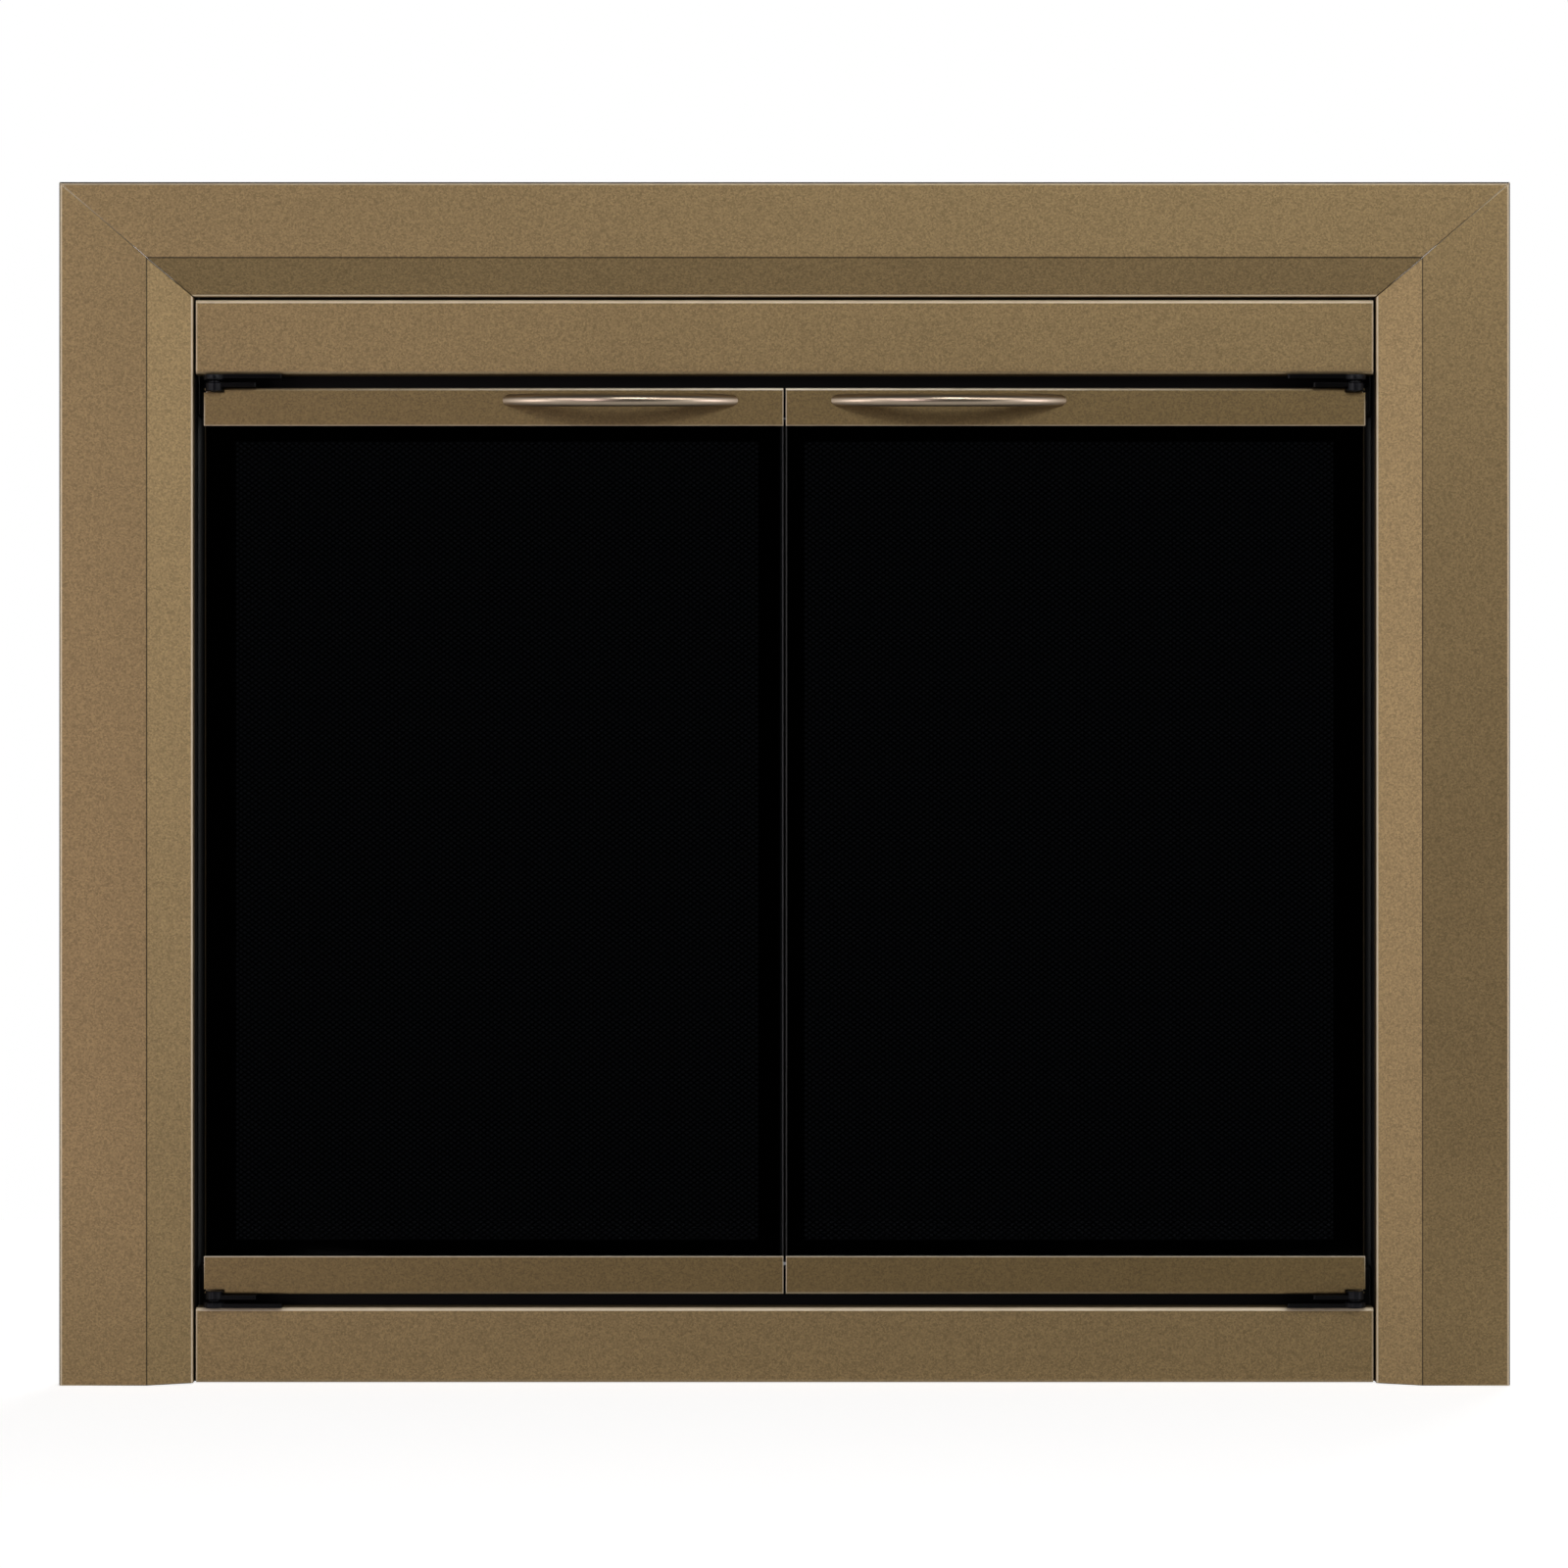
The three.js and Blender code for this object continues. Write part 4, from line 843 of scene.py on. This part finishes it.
# %% Catches
def catch():
    block = slab(rounded([(15, 645), (55, 645), (55, 655), (15, 655)], 1.6), 4.6, 11.6)
    strips = [slab(rounded([(19, low), (51, low), (51, low + 1.6), (19, low + 1.6)], 0.4), 4.35, 6.0)
              for low in (646.8, 651.6)]
    return together(block, *strips)


both_sides(catch(), "catch", "catch_plastic", edge=0.2)

# %% [markdown]
# ## Door pivots
# Each door turns on two pins. A pivot is a pair of flat arms with round bosses: the wide one is fixed to
# the frame under the panel, the narrow one carries the door and bites into the corner of its rail. Levels
# are counted from the panel's edge towards the door, so one drawing gives the upper and the lower pivot.

# %% Pivot arms and pins
PIVOT, PIVOT_BORE, PIVOT_PIN = (375.95, -12.0), 2.8, 2.5
LEVELS = {"upper": lambda level: 665.0 - level, "lower": lambda level: 49.4 + level}


def pivot_arm(place, length, arm_levels, boss_rows):
    x, y = PIVOT
    outline = rounded([(x - length, y - 3.5), (x, y - 3.5), (x, y + 12), (x - length, y + 12)], 1.8)
    arm = slab(outline, *sorted(map(place, arm_levels)), "Z")
    boss = lathe([(place(level), radius, rub_highlight_shade) for level, radius, rub_highlight_shade in boss_rows], PIVOT, "Z", 48)
    return drill(combine(arm, boss, "UNION"), PIVOT, PIVOT_BORE, *sorted((place(-1), place(13))))


def pin(place):
    rows = [(-0.2, 0, 0.2), (-0.2, 1.5, 0.4), (-0.05, 2.1, 0.6), (0.4, PIVOT_PIN, 0.4),
            (11.3, PIVOT_PIN, 0.2), (11.8, 2.1, 0.4), (12.0, 0, 0.2)]
    return lathe([(place(level), radius, rub_highlight_shade) for level, radius, rub_highlight_shade in rows], PIVOT, "Z", 32)


# The third number of each row paints that rim paler as a glint: a painted highlight.
FRAME_BOSS = [(0.3, 6.5, 0.3), (0.5, 7.0, 0.8), (0.9, 7.2, 0.5), (3.4, 7.2, 0.5), (3.9, 6.9, 0.9),
              (4.1, 6.4, 0.4)]
DOOR_BOSS = [(4.4, 4.3, 0.3), (5.0, 4.5, 0.7), (5.5, 4.4, 0.3), (5.9, 5.5, 0.8), (6.3, 5.8, 0.6),
             (11.0, 5.8, 0.4), (11.4, 5.4, 0.7), (11.5, 4.8, 0.3)]
for end, place in LEVELS.items():
    for shape, node, body, edge in (
            (pivot_arm(place, 45, (0.3, 3.1), FRAME_BOSS), "frame_pivot", "frame", 0.35),
            (pivot_arm(place, 28, (5.9, 8.7), DOOR_BOSS), "door_pivot", "door", 0.35),
            (pin(place), "pivot_pin", "door", 0)):
        both_sides(shape, f"{end}_{node}", "pivot_black", body, edge=edge)

# %% [markdown]
# ## Glass doors
# A door is a pane of glass gripped by two folded rails, one along its top and one along its bottom. Its
# upright edges are bare, ground glass. Each rail is a channel whose mouth faces the pane, and its outer
# corner is notched for the pivot's boss. Both rails are palest along their upper edge, which is a fold
# on the top rail and the sheet's cut edge on the bottom one: polish there, and a painted highlight.

# %% Door rails
DOOR_INNER, DOOR_OUTER, DOOR_FACE, DOOR_BACK = 0.8, 382.95, -10.0, 4.0


def door_rail(place, fold_polish_highlight, mouth_polish_highlight):
    path = [(DOOR_BACK, place(34)), (DOOR_BACK, place(9)), (DOOR_FACE, place(9)), (DOOR_FACE, place(34))]
    ring = sheet_section(path, 1.2 if place(0) > place(1) else -1.2, 1.6, guard=1.0,
                         wear_highlight_shade=[(0.3, 0.3), (fold_polish_highlight, fold_polish_highlight)], tips=(0.3, mouth_polish_highlight))
    body = straight(ring, "X", DOOR_INNER, DOOR_OUTER, guard=0.9, ends=lambda u: 0.5)
    x, y = PIVOT
    corners = [(x - 6.4, -12), (DOOR_OUTER + 2, -12), (DOOR_OUTER + 2, -5.6), (x - 6.4, -5.6)]
    notch = slab(corners, *sorted((place(8), place(12.1))), "Z")
    return combine(body, notch, "DIFFERENCE")


def handle_holes(body):
    for x in HANDLE_SCREWS.values():
        body = drill(body, (x, HANDLE_LEVEL), 2.1, -11, -8, "Y")
    return body


HANDLE_LEVEL, HANDLE_CENTRE = 648.0, 108.3
HANDLE_SCREWS = {"inner": HANDLE_CENTRE - 67, "outer": HANDLE_CENTRE + 67}
upper_rail = handle_holes(door_rail(LEVELS["upper"], 2.4, 0.3))
lower_rail = door_rail(LEVELS["lower"], 0.3, 0.7)
for shape, node in ((upper_rail, "door_top_rail"), (lower_rail, "door_bottom_rail")):
    both_sides(shape, node, "door_paint", "door", edge=0.25)

# %% [markdown]
# The pane is five millimetres thick. Its upright edges are ground, which leaves a narrow bevel, the
# arris, on both sides of a dull edge. They are the pale lines seen where the two doors meet.

# %% Glass and its liners
def pane(front=-5.5, back=-0.5, arris=1.1):
    ring = [(DOOR_INNER + arris, front, 0.0), (DOOR_INNER, front + arris, 1.0),
            (DOOR_INNER, back - arris, 1.0), (DOOR_INNER + arris, back, 0.0),
            (DOOR_OUTER - arris, back, 0.0), (DOOR_OUTER, back - arris, 1.0),
            (DOOR_OUTER, front + arris, 1.0), (DOOR_OUTER - arris, front, 0.0)]
    return straight(ring, "Z", 72.4, 642.0, strip=False, ends=lambda u: 0.0)


both_sides(pane(), "glass", "smoked_glass", "door", edge=0)


def liner(place):
    mouth, edge, web = place(33), place(22.7), place(21.2)
    section = [(-8.5, mouth), (-8.5, web), (2.5, web), (2.5, mouth),
               (-0.2, mouth), (-0.2, edge), (-5.8, edge), (-5.8, mouth)]
    ring = [(u, v, 0.0) for u, v in rounded(section, 0.4, 3)]
    return straight(ring, "X", DOOR_INNER, DOOR_OUTER, strip=False)


for end, place in (("top", LEVELS["upper"]), ("bottom", LEVELS["lower"])):
    both_sides(liner(place), f"glass_{end}_liner", "gasket_fibre", "door", edge=0)

# %% [markdown]
# The handle is a round bar bent to a shallow bow. Its ends are cut off flat where they meet the rail, so
# each foot is a long ellipse. The bar is swept along an arc as rings of points. Its middle dips a little,
# because it stands nearest to an eye that is lower than the handle, and the bow should look level. A
# plane then trims the feet, and the holes it leaves are filled.

# %% Handles
def bow_handle():
    span, bow, radius, feet, droop = 143.0, 26.0, 4.3, DOOR_FACE - 0.3, 1.7
    steps, sides = 96, 40
    arc = (span ** 2 / 4 + bow ** 2) / (2 * bow)
    centre_y, half = DOOR_FACE - bow + arc, math.asin(span / 2 / arc) + 0.09
    bm, layer = new_shape()
    rings = []
    for step in range(steps + 1):
        angle = half * (step / (steps / 2) - 1)
        level = HANDLE_LEVEL - droop * math.cos(angle / half * math.pi / 2)
        ring = []
        for k in range(sides):
            turn = 2 * math.pi * k / sides
            reach = arc + radius * math.cos(turn)
            ring.append(bm.verts.new((HANDLE_CENTRE + reach * math.sin(angle),
                                      centre_y - reach * math.cos(angle), level + radius * math.sin(turn))))
            # The middle of the bow is painted paler, a painted highlight for the streak of light along the
            # bar.
            ring[-1][layer] = 0.5 * math.exp(-(angle / 0.25) ** 2)
        rings.append(ring)
    belts(bm, rings)
    bmesh.ops.bisect_plane(bm, geom=bm.verts[:] + bm.edges[:] + bm.faces[:], plane_co=(0, feet, 0),
                           plane_no=(0, 1, 0), clear_outer=True)
    bmesh.ops.holes_fill(bm, edges=[edge for edge in bm.edges if edge.is_boundary])
    for x in HANDLE_SCREWS.values():
        bm = drill(bm, (x, HANDLE_LEVEL), 2.1, feet - 5, feet + 1, "Y")
    return bm


both_sides(bow_handle(), "handle", "handle_metal", "door", edge=0.3, sharp=50)
for place, x in HANDLE_SCREWS.items():
    both_sides(screw((x, HANDLE_LEVEL), -14.8, -8.5, -6.3, 1.7, 3.3, pitch=0.8), f"handle_{place}_screw",
               "zinc_plate", "door", edge=0)

# %% [markdown]
# ## Mesh gates
# Behind the glass stand two gates that keep sparks in when the doors are open. A gate is four welded bars
# with mitred corners and turns on two studs. The net is laid on its back and held by a thin strip with
# rivets.

# %% Gate frames
GATE_INNER = {"right": -1.4, "left": 3.0}  # the gates meet left of the doors' seam, so a bar backs it
GATE_OUTER, GATE_BOTTOM, GATE_TOP, GATE_BAR = 380.95, 77.2, 637.0, 14.5


def window(inner, grow=0.0):
    """The opening of a gate, made larger all round by a margin."""
    return (inner + GATE_BAR - grow, GATE_OUTER - GATE_BAR + grow,
            GATE_BOTTOM + GATE_BAR - grow, GATE_TOP - GATE_BAR + grow)


def mitred_ring(outside, inside, low, high, gap=0.1):
    """Four flat lengths with mitred ends that make a rectangular ring."""
    (x0, x1, z0, z1), (u0, u1, w0, w1) = outside, inside
    lengths = [[(x0 + gap, z0), (x1 - gap, z0), (u1 - gap, w0), (u0 + gap, w0)],
               [(x1, z0 + gap), (x1, z1 - gap), (u1, w1 - gap), (u1, w0 + gap)],
               [(x1 - gap, z1), (x0 + gap, z1), (u0 + gap, w1), (u1 - gap, w1)],
               [(x0, z1 - gap), (x0, z0 + gap), (u0, w0 + gap), (u0, w1 - gap)]]
    return together(*[slab(length, low, high) for length in lengths])


def gate_frame(inner):
    bars = mitred_ring((inner, GATE_OUTER, GATE_BOTTOM, GATE_TOP), window(inner), 16, 22)
    stud = (GATE_PIVOT, GATE_MIDDLE)
    top = lathe([(636.5, 3, 0.2), (643.3, 3, 0.5), (644, 2.4, 0.6)], stud, "Z", 32)
    low = lathe([(69.2, 2.4, 0.6), (69.9, 3, 0.5), (75.5, 3, 0.2), (75.5, 4.7, 0.6), (75.8, 5, 0.6),
                 (77.2, 5, 0.4), (77.2, 3, 0.0), (78, 3, 0.0)], stud, "Z", 32)
    return together(bars, top, low)


for side, inner in GATE_INNER.items():
    one_side(side, gate_frame(inner), "gate_frame", "gate_steel", "gate", edge=0.7)
print("made both gate frames")

# %% [markdown]
# The net has staggered diamonds, about five millimetres wide and three and a half high. In such a
# pattern every strand runs on in a straight line through the crossings. So the net needs no hole cut in
# it: two families of slanting wires, laid over each other, give it with a few thousand faces.

# %% The net
def wire(start, end, half_width, half_depth):
    """A straight wire of six sides, as corners and faces."""
    depthways = Vector((0, 1, 0))
    across = (end - start).normalized().cross(depthways).normalized()
    angles = [math.pi * k / 3 for k in range(6)]
    corners = [tip + (across * math.cos(a) * half_width + depthways * math.sin(a) * half_depth)
               for tip in (start, end) for a in angles]
    faces = [(k, (k + 1) % 6, (k + 1) % 6 + 6, k + 6) for k in range(6)]
    return corners, faces + [tuple(range(6)), tuple(range(6, 12))]


def net(inner, across=4.9, high=3.5):
    x0, x1, z0, z1 = window(inner, 5)
    slope = high / across
    verts, faces = [], []
    for lean, depth in ((slope, 22.5), (-slope, 22.85)):
        count = int((x1 - x0 + (z1 - z0) / slope) / across) + 1
        for i in range(count):
            shift = x0 - (z1 - z0) / slope + i * across if lean > 0 else x0 + i * across
            ends = sorted((max(x0, min(x1, shift + (z - z0) / lean)) for z in (z0, z1)))
            if ends[1] - ends[0] < 2:
                continue
            start, end = [Vector((x, depth, z0 + (x - shift) * lean)) for x in ends]
            corners, sides = wire(start, end, 0.42, 0.22)
            faces += [[len(verts) + k for k in side] for side in sides]
            verts += corners
    mesh = bpy.data.meshes.new("draft")
    mesh.from_pydata(verts, [], faces)
    bm = bmesh.new()
    bm.from_mesh(mesh)
    return bm


def net_strip(inner):
    x0, x1, z0, z1 = window(inner)
    strip = mitred_ring(window(inner, 7), window(inner, 0.8), 23.05, 23.5, 0.05)
    width, height = x1 - x0 + 8, z1 - z0 + 8
    spots = [(x, z0 - 4 + height * i / 6) for i in range(7) for x in (x0 - 4, x1 + 4)]
    spots += [(x0 - 4 + width * i / 4, z) for i in range(1, 4) for z in (z0 - 4, z1 + 4)]
    head = [(23.3, 2.0, 0), (23.6, 1.9, 0.4), (23.9, 1.4, 0.6), (24.05, 0, 0.5)]
    return together(strip, *[lathe(head, spot, "Y", 20) for spot in spots])


for side, inner in GATE_INNER.items():
    one_side(side, together(net(inner), net_strip(inner)), "gate_mesh", "mesh_steel", "gate", edge=0)
print("made both nets")

# %% [markdown]
# A small turned pull on the meeting side opens each gate. Its profile is a mushroom: a foot, a narrow
# neck and a domed face.

# %% Gate pulls
profile = [(15.7, 0, 0), (15.7, 3.6, 0.2), (15.4, 3.9, 0.5), (14.9, 3.8, 0.3), (13.6, 2.9, 0),
           (12.5, 2.6, 0), (11.6, 3.1, 0), (10.9, 4.6, 0.1), (10.4, 5.6, 0.5), (9.6, 6.0, 0.7),
           (8.4, 6.0, 0.7), (7.6, 5.6, 0.6), (7.0, 4.6, 0.4), (6.75, 2.6, 0.2), (6.7, 0, 0.2)]
for side, inner in GATE_INNER.items():
    pull = lathe(profile, (inner + GATE_BAR / 2, 377.2), "Y", 48)
    one_side(side, pull, "gate_knob", "black_steel", "gate", edge=0)
print("made both gate pulls")

# %% [markdown]
# ## Studio
# The picture is taken straight on, from far enough away that the sides of the frame don't show. The
# camera stands three and a half metres in front of the frame, level with its middle, with a long lens.

# %% Camera
DISTANCE, VIEW_WIDTH, SENSOR_WIDTH = 3500.0, 1028.8, 36.0
camera = put_in_scene("camera", bpy.data.cameras.new("camera"))
camera.location = (-0.0004, (FRONT - DISTANCE) * MM, 0.3948)
camera.rotation_euler = (math.radians(90), 0, 0)
camera.data.sensor_width = SENSOR_WIDTH
camera.data.lens = SENSOR_WIDTH * DISTANCE / VIEW_WIDTH
bpy.context.scene.camera = camera
print("lens in mm:", round(camera.data.lens, 1))

# %% [markdown]
# Metal shows its surroundings more than its own colour, so the lamps are large softboxes. Three stand
# beside the camera, one low and two high, and leave a dark gap between them: the panes mirror that gap
# and stay black, while the flats catch the boxes. Two wide ones far out to the sides fill the slanting
# bevels, each of which mirrors the far side of the studio. The key hangs above the camera and draws the
# handles' shadows downwards, and one behind lights the fixings.

# %% Softboxes
def softbox(name, place, target, size, power, tint=(1, 1, 1)):
    light = bpy.data.lights.new(name, "AREA")
    light.shape, light.size, light.size_y = "RECTANGLE", *size
    light.energy, light.color = power, tint
    lamp = put_in_scene(name, light)
    lamp.location = place
    lamp.rotation_euler = (Vector(target) - Vector(place)).to_track_quat("-Z", "Y").to_euler()


softbox("key softbox", (0.25, -2.7, 1.9), (0, 0, 0.5), (1.1, 0.6), 16)
softbox("low left softbox", (-1.4, -3.1, 0.15), (-0.2, 0, 0.35), (0.9, 1.0), 12, (1.0, 0.84, 0.95))
softbox("high left softbox", (-1.85, -2.9, 1.3), (-0.2, 0, 0.5), (1.9, 1.0), 14.5, (1.0, 0.94, 0.97))
softbox("high right softbox", (1.85, -2.9, 1.6), (0.2, 0, 0.6), (1.9, 1.0), 20, (1.0, 0.95, 0.93))
softbox("wide left softbox", (-3.0, -1.6, 0.1), (0, 0, 0.1), (1.0, 1.2), 12, (1.0, 0.9, 0.97))
softbox("wide right softbox", (3.0, -1.6, 0.1), (0, 0, 0.1), (1.0, 1.2), 14, (0.97, 0.88, 1.0))
softbox("back softbox", (0.6, 2.6, 1.8), (0, 0, 0.4), (2.0, 1.6), 34)
print("lamps:", len(bpy.data.lights))

# %% [markdown]
# The floor is a pale sheet just large enough to take the shadow, and the world around it is white to the
# eye. What a camera ray, a reflection or a look through the glass meets is brightened, and what only
# lights the set stays weak, so the colours keep their level. For reflections the world is dark in front
# of the set and overhead, like the unlit end and ceiling of a studio: that keeps the panes black and
# gives the handles their dark upper edge.

# %% World and floor
def seen_directly(tree, glossy):
    """1 for camera and transmission rays, and a share for reflections, which is a number or a socket."""
    path = add(tree, "ShaderNodeLightPath").outputs
    shine = reckon(tree, "MULTIPLY", path["Is Glossy Ray"], glossy)
    seen = reckon(tree, "MAXIMUM", path["Is Camera Ray"], path["Is Transmission Ray"])
    return reckon(tree, "MAXIMUM", seen, shine)


def build_world():
    world = bpy.data.worlds.new("studio")
    bpy.context.scene.world = world
    world.use_nodes = True
    tree = world.node_tree
    background = tree.nodes["Background"].inputs
    way = add(tree, "ShaderNodeTexCoord").outputs["Generated"]
    forward = add(tree, "ShaderNodeVectorMath", {0: way, 1: (0, -1, 0)}, operation="DOT_PRODUCT")
    upward = add(tree, "ShaderNodeSeparateXYZ", {0: way}).outputs["Z"]
    beside_camera = remap(tree, forward.outputs["Value"], 0.62, 0.88, 0.9, 0.0)
    below_ceiling = remap(tree, upward, 0.2, 0.65, 1.0, 0.06)
    shine = reckon(tree, "MULTIPLY", beside_camera, below_ceiling)
    diffuse = add(tree, "ShaderNodeLightPath").outputs["Is Diffuse Ray"]
    fill = reckon(tree, "MULTIPLY", diffuse, 0.05)
    strength = reckon(tree, "ADD", seen_directly(tree, shine), fill)
    tree.links.new(strength, background["Strength"])
    background["Color"].default_value = (1, 1, 1, 1)


def build_floor():
    corners = [(-1400, -900), (1400, -900), (1400, 1300), (-1400, 1300)]
    sheet = as_object(slab(rounded(corners, 400), -20, -0.5, "Z"), "floor")
    for vert in sheet.data.vertices:
        vert.co *= MM
    material, tree, shader = new_material("floor paper")
    paper = blended(tree, noise(tree, 260.0, 4.0), (0.78, 0.78, 0.77, 1), (0.82, 0.82, 0.81, 1))
    feed(tree, shader, {"Base Color": paper, "Roughness": 0.9})
    strength = reckon(tree, "MULTIPLY", seen_directly(tree, 0.4), 0.75)
    glow = add(tree, "ShaderNodeEmission", {"Strength": strength})
    both = add(tree, "ShaderNodeAddShader", {0: shader.outputs[0], 1: glow.outputs[0]})
    tree.links.new(both.outputs[0], tree.nodes["Material Output"].inputs["Surface"])
    sheet.data.materials.append(material)


build_world()
build_floor()
bpy.context.scene.view_settings.view_transform = "Standard"
print("view:", bpy.context.scene.view_settings.view_transform)
